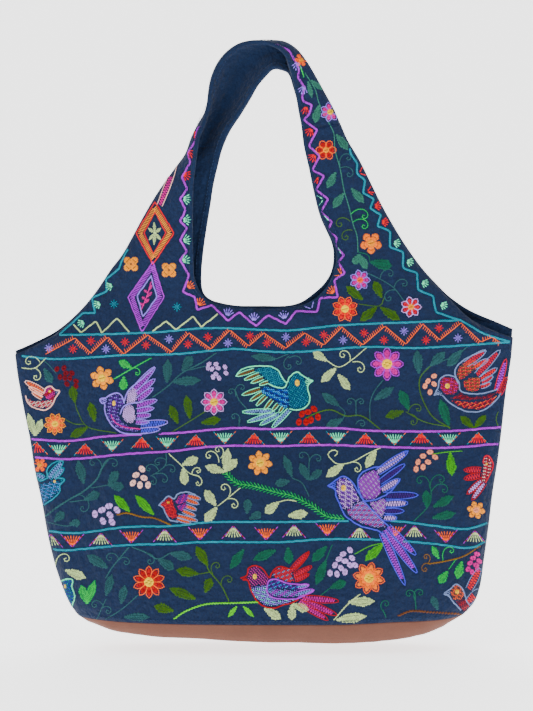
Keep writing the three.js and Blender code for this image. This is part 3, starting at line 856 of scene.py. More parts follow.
class Chart:
    """Stitches drawn on the flat sheet: ends, thread, thickness and how high they lie."""

    def __init__(self, seed):
        self.rows = []
        self.random = np.random.default_rng(seed)

    def stitch(self, a, b, thread, fat=1.0, lift=0.0):
        self.rows.append((a[0], a[1], b[0], b[1], thread, fat, lift))

    # Lines.

    def chain(self, points, thread, width=2.6, step=2.5, lift=0.0, smooth=True):
        """Chain stitch: each link is two strands that open forwards."""
        path = even_steps(smooth_path(points) if smooth else points, step)
        for a, b in pairs(path + self.random.uniform(-0.28, 0.28, path.shape)):
            d, n = ways(a, b)
            n = n * width * 0.24
            tip = d * step * 0.24
            self.stitch(a - n * 0.35 - tip, b - n, thread, width * 0.30, lift)
            self.stitch(a + n * 0.35 - tip, b + n, thread, width * 0.30, lift)

    def stem(self, points, thread, width=1.5, step=3.0, lift=0.0, smooth=True):
        """Stem stitch: slanting strands that overlap like a rope."""
        for a, b in pairs(even_steps(smooth_path(points) if smooth else points, step)):
            d, n = ways(a, b)
            n = n * width * 0.2
            self.stitch(a - d * 0.6 - n, b + d * 0.6 + n, thread, width * 0.5, lift)

    def hatch(self, points, thread, width):
        """A straight-sided band of slanting stitches across its line."""
        for a, b in pairs(even_steps(points, 1.75)):
            d, n = ways(a, b)
            n = n * width * 0.5
            self.stitch(a - n - d * 0.6, a + n + d * 0.6, thread, 0.85)

    def fishbone(self, points, thread, width):
        """A spine with pairs of slanting stitches, like a fern."""
        for a, b in pairs(even_steps(smooth_path(points), 3.7)):
            d, n = ways(a, b)
            self.stitch(a, b + d * 0.5, thread, 0.7)
            for side in (-1, 1):
                self.stitch(b, a + n * side * width * 0.5 - d * 0.6, thread, 0.66, 0.1)

    def comb(self, points, thread):
        """A zigzag with short teeth on its inner sides."""
        self.stem(points, thread, 1.1, 2.4, smooth=False)
        side = 1.0
        for a, b in pairs(points):
            d, n = ways(a, b)
            if n[1] * side > 0:
                n = -n
            for p in even_steps(np.array([a, b]), 2.3)[1:-1]:
                reach = 3.7 * self.random.uniform(0.75, 1.1)
                self.stitch(p - n * 0.5, p + n * reach + d * 1.1, thread, 0.6)
            side = -side

    def twist(self, points, first, second):
        """A thin line of two threads in turn."""
        for k, (a, b) in enumerate(pairs(even_steps(points, 2.3))):
            self.stitch(a, b + (b - a) * 0.2, (first, second)[k % 2], 0.62)

    # Small motifs.

    def fan(self, tip, left, right, thread):
        """Straight stitches that spread from a tip towards a base line."""
        tip, left, right = (np.asarray(p, float) for p in (tip, left, right))
        for k in range(FAN_RAYS):
            share = (k + 0.5) / FAN_RAYS
            end = left + (right - left) * (0.5 + (share - 0.5) * 0.92)
            reach = 0.84 + 0.08 * (1 - abs(2 * share - 1))
            near = 0.12 + 0.10 * abs(2 * share - 1)
            self.stitch(tip + (end - tip) * near, tip + (end - tip) * reach, thread, 0.98)

    def star(self, centre, thread, r=4.6):
        """An eight-pointed star of straight stitches."""
        for k in range(8):
            reach = r * (1.0 if k % 2 == 0 else 0.92)
            d = turned(k * math.pi / 4)
            self.stitch(centre + d * 0.5, centre + d * reach, thread, 0.62)

    def leaf(self, base, tip, width, thread):
        """A satin leaf: slanting stitches from a middle vein to each edge."""
        run = np.linalg.norm(tip - base)
        d, n = ways(base, tip)
        count = max(3, round(run / 1.6))
        for k in range(count):
            t = (k + 0.35) / count
            full = width / 2 * math.sin(math.pi * (0.05 + 0.95 * t) ** 0.82) ** 1.1
            root = base + d * run * t
            for side in (-1, 1):
                half = full * self.random.uniform(0.86, 1.12) + 0.25
                ahead = min(half * 0.9, run * (1 - t) + 0.6)
                self.stitch(root - n * side * 0.3, root + n * side * half + d * ahead, thread, 1.04)
        self.stitch(base, base + d * run * 0.35, thread, 0.6, 0.1)

    def curl(self, start, centre, r, turn, thread, width=1.35):
        """A tendril that winds inwards round a centre."""
        first = math.atan2(start[1] - centre[1], start[0] - centre[0])
        away = np.linalg.norm(start - centre)
        t = np.linspace(0, 1, 26)
        angle = first + turn * 2 * math.pi * 1.35 * t
        radius = r * (1 - 0.78 * t) + (away - r) * np.exp(-t * 7.0)
        path = np.stack([centre[0] + radius * np.cos(angle), centre[1] + radius * np.sin(angle)], 1)
        self.stem(path, thread, width, 2.2, smooth=False)

    def blob(self, centre, rx, ry, thread, slant=0.3, lift=0.0, fat=1.0):
        """A small padded round of parallel satin stitches."""
        x, y = centre
        count = max(2, round(2 * rx / 1.15))
        d = np.array([math.sin(slant), math.cos(slant)])
        n = np.array([d[1], -d[0]])
        for k in range(count):
            t = (k + 0.5) / count * 2 - 1
            half = ry * math.sqrt(max(0.05, 1 - t * t))
            mid = np.array([x, y]) + n * rx * t
            self.stitch(mid - d * half, mid + d * half, thread, fat, lift)

    def berries(self, points, thread, size):
        """Small padded rounds, each slanting its own way from the middle."""
        middle = points.mean(0)
        for p in points:
            lean = math.atan2(p[0] - middle[0], p[1] - middle[1]) * 0.4
            lean += self.random.uniform(-0.5, 0.9)
            self.blob(p, size * 0.72, size * 1.08, thread, lean, 0.1, 1.1)

    def flower(self, centre, r, petals, thread, edge, heart, turn=0.0, pointed=False):
        """Petals of satin stitches round a heart, each in a chain outline if it has one."""
        c = centre
        for k in range(petals):
            d = turned(turn + k * 2 * math.pi / petals)
            n = np.array([-d[1], d[0]])
            half = math.pi * r * 0.62 / petals * (0.84 if edge else 1.05)
            strokes = max(3, round(2 * half / 1.15))
            for j in range(strokes):
                s = (j + 0.5) / strokes * 2 - 1
                top = r * (0.97 - (0.30 if pointed else 0.20) * s * s) - (1.0 if edge else 0.0)
                self.stitch(
                    c + d * r * 0.27 + n * s * half * 0.45, c + d * top + n * s * half * 0.9,
                    thread, 0.95, 0.0)
            if edge:
                loop = [
                    c + d * r * 0.28 + n * half * 0.55, c + d * r * 0.70 + n * (half + 0.5),
                    c + d * r * 0.93 + n * half * 0.62, c + d * r * 1.02,
                    c + d * r * 0.93 - n * half * 0.62, c + d * r * 0.70 - n * (half + 0.5),
                    c + d * r * 0.28 - n * half * 0.55]
                self.stem(np.array(loop), edge, 1.25, 2.2, 0.25)
        self.blob(c, r * 0.31, r * 0.33, heart, 0.2, 0.6, 1.05)

    # Areas and birds.

    def seeded(self, points, threads, slant=0.0, gap=1.55, run=2.3, loose=0.5):
        """An area filled with rows of short stitches, in one or more threads."""
        threads = threads.split()
        polygon = smooth_path(np.concatenate([points, points[:1]]), 4)[:-1]
        middle = polygon.mean(0)
        d = turned(slant)
        n = np.array([-d[1], d[0]])
        reach = np.abs((polygon - middle) @ np.stack([d, n], 1)).max(0) + run
        rows = np.arange(-reach[1], reach[1], gap)
        for j, v in enumerate(rows):
            for i, u in enumerate(np.arange(-reach[0] + (j % 2) * run * 0.55, reach[0], run * 1.12)):
                mid = middle + d * u + n * v
                if not inside(polygon, mid[None])[0]:
                    continue
                lean = self.random.uniform(-loose, loose)
                e = (d * math.cos(lean) + n * math.sin(lean)) * run * 0.5
                ends = np.array([mid - e, mid + e])
                if not inside(polygon, ends).all():
                    ends = np.array([mid - e * 0.5, mid + e * 0.5])
                self.stitch(ends[0], ends[1], threads[(i + j) % len(threads)], 0.8, 0.0)

    def feather(self, base, tip, width, fill, edge):
        """A long feather: a few strokes inside a chain outline."""
        run = np.linalg.norm(tip - base)
        d, n = ways(base, tip)
        count = max(3, round(run / 1.45))
        for k in range(count):
            t = (k + 0.5) / count * 0.88
            half = width * 0.36 * math.sin(math.pi * (0.16 + 0.80 * t)) ** 0.6
            mid = base + d * run * t
            side = 1 if k % 2 else -1
            self.stitch(mid - n * half * side - d * 0.5, mid + n * half * side + d * 0.5, fill, 0.72)
        loop = [
            base + n * width * 0.40, base + d * run * 0.45 + n * width * 0.46,
            base + d * run * 0.84 + n * width * 0.30, tip,
            base + d * run * 0.84 - n * width * 0.30, base + d * run * 0.45 - n * width * 0.46,
            base - n * width * 0.40]
        self.stem(np.array(loop), edge, 1.35, 2.2, 0.3)

    def tuft(self, centre, thread, r=6.4, way=-1.0):
        """A small fan in a zigzag's notch, its rays towards the mouth or away from it."""
        away = way * (centre - MOUTH)
        lean = math.atan2(away[1], away[0])
        foot = centre - r * 0.55 * turned(lean)
        for k in range(5):
            d = turned(lean + (k - 2) * 0.36)
            self.stitch(foot + d * 1.1, foot + d * r * (1.45 - 0.10 * abs(k - 2)), thread, 1.0)

    def lobes(self, centre, thread, r=8.6):
        """Four padded lobes round a middle."""
        for k in range(4):
            turn = k * math.pi / 2 + math.pi / 4
            self.blob(centre + turned(turn) * r * 0.55, r * 0.40, r * 0.48, thread, turn, 0.1)

# Birds: filled areas, feathers with a base and a tip, outlines and an eye.
BIRDS = (
    # The turquoise bird, facing right.
    ("area",
     "254,370 259,368 265,367 272,368 277,371 281,376 285,381 285,385 282,386 276,386 271,385 268,381 "
     "265,378 262,375 256,372", "teal deep_teal teal", 0.5, 1.35),
    ("area",
     "260,389 264,387 269,387 275,388 282,389 287,388 289,393 289,400 288,407 284,408 279,404 274,400 "
     "268,396 264,394", "sky blue night_blue sky", 0.9, 1.4),
    ("area",
     "288,385 290,379 293,375 297,373 302,375 305,379 306,384 307,390 309,396 308,402 304,407 299,409 "
     "290,408 289,400 287,391", "deep_teal teal deep_teal", 1.35, 1.45),
    ("solid", "305,379 309,378 313,381 310,383 307,386 305,383", "mint", 0.3),
    ("feather",
     "254,370 236,376 259,374 244,380 263,378 251,383 268,382 259,385 260,389 242,395 262,393 250,401 "
     "266,396 256,406 272,400 264,410 278,404 272,411 283,407 279,413",
     (4.4, 4.0, 4.0, 3.3, 4.7, 4.1, 3.7, 3.7, 3.6, 3.3), "bark", "mint"),
    ("feather",
     "271,411 242,412 275,413 247,422 279,414 260,425 289,410 272,428",
     (5.3, 5.1, 5.1, 5.6), "powder", "mint"),
    ("edge",
     "236,376 241,370 249,367 257,366 265,366 272,367 278,370 282,377 287,383 289,378 293,374 297,372 "
     "302,375 306,378 313,381; 313,381 308,385 308,391 310,396 309,403 304,408 298,410 289,409; 269,384 "
     "275,387 281,388 285,387 287,383", "mint"),
    ("eye", "297.3,382.9", 2.2, 3.4),
    # The big violet bird, facing left.
    ("area",
     "336,482 340,479 346,478 352,484 356,492 360,500 355,503 349,508 344,509 341,504 338,496 336,489",
     "lilac lilac violet", 0.95, 1.3, 3.0, 0.1),
    ("solid", "328,486 335,482 336,490", "periwinkle", 0.1),
    ("area",
     "346,509 349,509 355,504 361,501 365,502 372,510 380,517 385,525 384,527 376,527 364,524 355,520 "
     "349,515", "lavender magenta lavender lilac", 0.6, 1.4, 1.9, 0.3),
    ("area",
     "359,486 359,480 363,475 371,471 377,471 379,477 380,484 381,490 379,495 373,499 365,499 361,493",
     "orchid lilac orchid", 1.5, 1.25, 2.0, 0.1),
    ("area",
     "369,502 376,501 384,498 386,502 385,510 383,516 382,518 376,513 372,508",
     "lilac orchid lilac", 1.5, 1.25, 2.0, 0.1),
    ("feather",
     "378,472 408,451 380,482 405,464 382,490 400,479 386,496 418,495 386,504 408,503 385,511 404,511 "
     "384,518 397,518",
     (8.0, 6.6, 7.8, 7.8, 7.6, 6.2, 6.2),
     "lilac dark_violet lilac dark_violet lilac dark_violet lilac", "periwinkle"),
    ("feather", "388,527 416,555 385,530 417,573 382,533 405,585", (7.8, 8.4, 7.8), "orchid", "periwinkle"),
    ("edge",
     "328,486 336,480 341,477 346,477 352,482 357,490 363,500 367,505 376,514 384,522 389,527; 328,486 "
     "335,490 336,496 340,505 344,514 352,521 363,527 376,530 380,532 385,538; 364,501 360,494 358,486 "
     "358,479 363,472 372,468 384,466 394,461 403,454 408,451; 364,501 374,500 384,496 392,490 400,479",
     "periwinkle"),
    ("stem", "343,496 345,501 348,504 348,509", "dark_violet"),
    ("eye", "343.5,488", 2.3, 3.4),
    # The magenta and lavender bird, facing left.
    ("area",
     "248,578 248,572 251,568 255,566 260,568 265,573 268,578 267,584 264,585 252,586 249,582",
     "magenta", 0.8, 2.3, 2.0, 1.1),
    ("solid", "241,578 246,576 248,580 243,580", "crimson", 0.1),
    ("area",
     "251,588 254,587 267,586 268,593 272,598 278,600 289,599 296,599 289,603 278,605 269,606 262,603 "
     "256,598 252,593", "lavender lavender aqua", 1.0, 1.4, 2.4, 0.7),
    ("area",
     "267,588 269,583 273,580 278,581 285,583 292,585 298,586 297,590 289,589 278,588 271,590",
     "dark_violet violet sky", 0.2, 1.3, 2.0, 0.3),
    ("area",
     "268,590 275,589 289,590 298,591 298,596 292,597 284,597 275,596 270,594",
     "powder orchid", 1.0, 1.3, 2.6, 0.1),
    ("area",
     "272,576 274,571 278,568 284,568 292,570 292,576 294,581 289,582 282,580 277,578",
     "red red grey red", 0.2, 1.3, 2.0, 0.3),
    ("feather", "292,570 309,552 294,576 312,566 295,580 309,574", (6.5, 5.8, 5.4), "rose", "crimson"),
    ("feather", "298,587 309,585 298,594 314,590", (4.5, 5.5), "powder", "orchid"),
    ("feather", "303,598 339,601 301,600 337,615 299,602 328,620", (7.4, 7.7, 7.2), "magenta", "crimson"),
    ("edge",
     "241,578 247,575 248,569 252,566 257,566 263,569 267,575 270,578 271,574 274,570 278,567 284,567 "
     "292,569 300,564 309,551; 243,580 248,580 250,588 254,596 259,603 266,607 274,608 283,605 294,602 "
     "299,599", "crimson"),
    ("edge",
     "267,591 267,586 269,581 274,579 279,580 286,583 294,584 309,585; 267,591 269,595 275,598 284,599 "
     "295,599 303,596 314,590", "orchid"),
    ("eye", "254.8,576.5", 1.9, 3.0),
    # The purple bird, facing left.
    ("area",
     "107,403 110,396 116,394 121,398 124,403 120,408 118,414 122,422 132,428 140,430 139,431 126,431 "
     "116,427 110,420 107,411", "dark_violet lavender violet", 0.8, 1.35, 1.9, 0.6),
    ("solid", "101,399 106,398 106,403 102,403", "lavender", 0.1),
    ("stem", "111,415 115,422 124,427 140,429", "hot_pink", 2.0),
    ("solid", "127,400 127,394 132,388 136,389 137,398 134,403 127,403", "lilac", 1.2),
    ("solid", "122,414 125,407 132,405 135,412 135,420 129,423 124,420", "lilac", 1.2),
    ("feather",
     "134,390 155,367 137,394 155,379 138,400 153,388 137,406 157,400 137,411 154,408 137,416 151,415 "
     "136,422 149,422", (7.0, 6.3, 6.0, 6.3, 5.6, 5.6, 5.0), "orchid", "lavender"),
    ("feather", "141,425 168,422 141,431 160,429", (7.6, 6.3), "periwinkle", "lavender"),
    ("edge",
     "124,403 122,396 116,393 110,395 106,398 100,399 102,403 105,404 105,412 109,421 115,428 124,433 "
     "136,434 148,433; 124,402 127,393 133,386 143,378 155,367; 120,414 124,406 133,403 143,402",
     "lavender"),
    ("eye", "114,403.3", 1.5, 2.8),
    # The small pink and orange bird, facing right.
    ("solid", "44,391 47,387 51,386 54,390 55,395 53,400 49,400 45,397", "magenta crimson", 0.9),
    ("area",
     "27,398 33,401 43,401 52,400 54,402 50,406 42,408 34,406 29,403",
     "blush rose blush", 0.2, 1.2, 1.8, 0.5),
    ("solid", "55,390 60,391 57,395", "grey", 0.2),
    ("feather", "44,392 25,381 43,395 29,387 42,398 32,392", (6.6, 5.0, 4.3), "orange", "blush"),
    ("edge", "26,396 28,403 35,408 45,410 52,405 56,397 60,391 55,390 51,386 46,388 44,393", "blush"),
    ("eye", "49.8,391.2", 1.0, 1.5),
    # The red bird, facing left.
    ("area",
     "440,386 441,380 446,377 453,378 458,384 459,388 454,394 446,394 442,391",
     "magenta crimson rose", 0.9, 1.3, 2.0, 0.5),
    ("solid", "434,395 436,390 441,392 442,395", "grey", 0.2),
    ("area",
     "449,398 456,396 461,392 464,395 474,397 484,396 495,392 492,398 482,399 467,400 456,399",
     "wine wine crimson", 0.1, 1.15, 2.4, 0.2),
    ("area",
     "451,400 460,401 470,402 484,401 496,396 496,398 490,405 480,409 470,409 459,406",
     "orange red wine", 0.1, 1.3, 2.2, 0.4),
    ("area",
     "457,376 458,369 465,362 472,360 481,365 474,370 465,377 460,380",
     "red bark orange", 0.6, 1.3, 1.9, 0.6),
    ("area",
     "463,383 467,379 477,377 481,382 479,389 474,392 467,390", "red bark orange", 0.6, 1.3, 1.9, 0.6),
    ("feather",
     "466,364 486,350 475,367 488,359 477,375 500,350 481,379 497,368 482,383 493,376 481,387 491,383",
     (7.6, 5.9, 7.6, 6.2, 5.5, 4.8), "rose red rose red rose red", "grey"),
    ("feather", "497,390 506,359 499,394 507,377", (6.5, 6.5), "orchid crimson", "rose"),
    ("edge",
     "434,395 438,387 440,379 447,375 455,377 459,383 460,390 466,393 475,394 484,393 498,389; 442,395 "
     "449,402 460,409 472,412 484,410 496,400 501,393; 458,383 455,374 457,366 465,359 475,354 486,350",
     "grey"),
    ("eye", "447.3,386", 2.2, 2.8),
    # The small red bird, facing left.
    ("area",
     "165,500 169,498 173,500 174,506 177,513 177,518 171,518 166,513 164,506",
     "red crimson red", 1.0, 1.15, 2.0, 0.4),
    ("solid", "159,505 164,502 164,507", "red", 0.1),
    ("area", "175,502 179,496 186,494 190,497 187,501 180,504", "magenta violet", 0.4, 1.15, 1.9, 0.5),
    ("area", "177,506 186,503 188,508 183,511 179,510", "magenta violet", 0.4, 1.15, 1.9, 0.5),
    ("feather",
     "188,496 201,499 187,500 199,504 186,506 197,510 183,511 196,516 178,516 198,521 177,519 191,523",
     (4.8, 4.8, 4.5, 4.5, 4.8, 4.1), "orange", "grey"),
    ("edge",
     "159,505 165,499 169,496 174,499 178,494 187,492 196,495; 159,505 163,508 166,514 170,520 178,522",
     "grey"),
    ("eye", "168.4,502.5", 1.3, 1.3),
    # The blue bird at the left edge.
    ("area",
     "40,483 48,483 54,480 60,483 60,489 54,496 47,501 43,504 40,494",
     "powder deep_teal sky", 1.0, 1.3, 2.0, 0.6),
    ("feather", "49,478 63,461 54,478 64,468 44,478 36,474", (7.0, 5.7, 5.7), "powder", "teal"),
    ("edge",
     "48,478 47,470 52,464 58,461 64,461; 56,478 65,479 60,485 60,491 54,498 48,502 44,505; 48,478 40,481 "
     "36,476", "teal"),
    ("solid", "60,478 65,479 61,483", "teal", 0.1),
    ("eye", "54.7,481.3", 1.2, 1.6),
    # The bird in the lower left corner.
    ("area",
     "63,580 66,579 72,581 71,587 74,596 71,605 67,599 63,589", "deep_teal blue teal", 1.0, 1.2, 2.0, 0.5),
    ("edge", "62,581 66,579 73,580 72,587 75,596 72,607", "mint"),
    ("eye", "65.4,586.2", 1.1, 2.2),
    # The small crimson bird at the right edge.
    ("area",
     "483,462 486,457 490,458 492,465 490,473 485,482 480,479 483,470",
     "rose crimson blush", 0.8, 1.2, 1.8, 0.6),
    ("feather",
     "481,470 464,470 480,475 464,479 481,481 467,494 484,483 472,500",
     (6.6, 6.6, 6.0, 6.0), "rose rose lilac lilac", "crimson"),
    ("edge", "483,463 485,456 490,457 493,465 490,474 485,483", "rose"),
    ("eye", "486.4,464", 0.9, 1.3),
    # The bird in the lower right corner.
    ("area",
     "451,594 451,588 456,585 462,588 464,596 460,600 454,600", "orange earth orange", 1.2, 1.25, 1.9, 0.4),
    ("area", "456,602 464,599 470,607 464,611", "wine crimson", 1.0, 1.15, 2.2, 0.2),
    ("solid", "444,594 450,590 450,596", "grey", 0.1),
    ("feather", "469,589 480,568 468,602 479,589", (8.6, 8.3), "red", "grey"),
    ("edge",
     "444,593 450,589 456,584 462,588 465,596 467,602 472,607; 444,594 450,597 453,602 461,610", "grey"),
    ("eye", "457,591.7", 1.9, 2.4),
)

# Lines, zigzags, stars and fans.
BORDERS = (
    # The teal lines across the body.
    ("chain", "60,335 110,334 159,332 209,328 270,330 294,330 343,325 415,322 461,320", "teal", 3.0),
    ("chain",
     "22,356 60,359 126,355 176,354 232,349 260,351 294,352 363,347 415,348 467,345 510,342", "teal", 3.0),
    ("chain",
     "47,531 78,533 126,527 173,526 213,522 280,522 336,521 394,521 436,526 466,529 487,523", "teal", 3.0),
    ("chain",
     "51,549 70,550 126,545 173,544 205,542 280,542 328,539 384,540 436,544 469,548 486,541", "teal", 3.0),
    # The purple lines.
    ("chain",
     "32,439 68,441 110,436 176,433 234,428 270,429 329,428 380,431 449,431 501,427", "orchid", 3.0),
    ("chain", "33,457 70,459 126,454 173,451 221,446 280,446 329,445 432,448 498,444", "orchid", 3.0),
    # The zigzag round the mouth and the strap.
    ("zigzag",
     "201,126 197,130 196,140 188,152 190,163 182,177 187,189 180,199 186,210 180,221 187,228 180,240 "
     "187,251 180,260 189,275 183,292 195,297 197,310 212,305 228,321 239,312 256,326 268,315 286,324 "
     "296,311 317,312 320,298 338,297 334,280 345,273 338,262 344,255 335,246 337,238 328,230 332,222 "
     "321,212 328,199 316,190 324,176 312,170 320,156 309,146 317,130 304,120 309,114 312,105 303,101 "
     "302,96 305,88 298,77 299,69 293,57 289,50 281,47 268,42", "orchid", 2.9),
    # The outer zigzags down the arms.
    ("zigzag",
     "60,334 83,313 95,313 92,298 107,291 106,279 119,269 123,258 128,249; 350,149 350,153 357,163 357,174 "
     "365,180 363,193 374,199 370,208 381,215 377,226 390,231 390,247 403,252 403,268 417,273 418,290 "
     "433,296 436,312 462,321 484,334 510,342", "teal", 2.9),
    ("comb",
     "46,354 75,338 91,353 108,337 124,354 148,335 172,352 189,333 211,349 230,330 249,346 264,333 286,348 "
     "305,333 324,345 342,327 363,345 385,326 406,344 423,324 440,340 461,323 481,342 492,337 501,343",
     "orange"),
    ("star", "49,348 106,349 169,339 228,343 286,337 343,340 404,331 458,338", "lavender"),
    ("star",
     "73,349 91,341 125,342 146,345 188,344 208,337 250,336 267,343 306,342 324,335 364,333 384,340 426,340 "
     "439,328", "red"),
    ("star", "114,304 177,307", "teal"),
    ("tuft", "197,133 191,153 186,175 305,109 310,131 313,157 316,178", "red"),
    ("tuft", "362,172 370,191 377,206 384,222", "red", 5.4, 1.0),
    ("tuft", "186,199 186,220 186,240 185,260 320,200 326,221 338,253", "mint"),
    ("tuft", "396,243 409,262 424,283 443,305 82,323 98,304 110,286", "mint", 5.4, 1.0),
    ("tuft", "190,286 200,303 339,273 332,291", "orange"),
    ("tuft", "228,313 254,318 284,316 310,306 297,65 303,89", "lavender"),
    # The diamonds of the left arm.
    ("hatch", "153,266 160,297 142,326 132,297 153,266", "orchid", 4.6),
    ("zigzag", "153,262 164,297 142,332 128,297 153,262", "orchid", 1.6),
    ("zigzag", "151,276 157,297 143,317 137,296 151,276", "lavender", 2.0),
    ("stem", "151,282 147,296 141,310", "hot_pink", 1.6),
    ("leaf",
     "149,290 152,285 147,297 152,292 145,303 149,299 148,293 144,290 146,300 142,297 144,306 140,303",
     2.4, "hot_pink"),
    ("hatch", "155,208 170,233 153,258 140,233 155,208", "gold", 4.6),
    ("zigzag", "155,202 174,233 153,264 136,233 155,202", "red", 1.7),
    ("zigzag", "155,212 166,233 153,254 144,233 155,212", "red", 1.4),
    ("leaf",
     "155,233 154,222 155,233 154,245 155,233 148,228 155,233 161,228 155,233 149,240 155,233 161,240",
     2.8, "pale_green"),
    ("lobes", "131,264 169,270", "gold"),
    ("zigzag",
     "74,325 81,333 96,321 102,333 117,318 129,332; 153,331 166,321 176,330 193,316 201,327 218,314",
     "pale_green", 2.2),
    ("feather", "160,205 177,162", (6.6,), "hot_pink", "blush"),
    # The strap's two seams.
    ("stem", "318,130 325,127 332,125 342,125; 200,156 211,150 222,146", "navy", 2.4),
)

# Triangles between the double lines: the tips, which way they point, half-width and height.
TRIANGLES = (
    ("36.4,442 85,443.6 141.6,437.2 195.8,434.8 254,433.2 309,432.5 365.3,433.3 421,432.5 478,432.5",
     -1, "red", "teal", "orange", 11.0, 12.0),
    ("58.7,455.5 112,451.5 167,448.3 224.5,443.6 280.8,443.3 337.2,443.3 394.4,445 449,445",
     1, "mint", "teal", "orange", 11.0, 12.0),
    ("72.3,547.2 131.2,543.2 199.8,540 266,540 327.2,536 394.4,538 445.8,542.8",
     1, "orange", "orchid", "crimson", 11.5, 13.0),
    ("51,534 101,532.8 164.7,529 233.3,525.7 294,524.5 359.5,526.2 414.3,525.3 474.8,530.3",
     -1, "pale_green", "orchid", "crimson", 11.5, 13.0),
)

# Where a bird lies over the lines.
COVERED = (
    "341,512 352,500 386,500 392,514 388,527 418,556 420,590 402,590 379,536 352,526",
    "258,426 264,420 272,414 262,407 268,405 284,412 276,426 268,427",
    "139,424 152,418 169,420 162,434 141,437",
)

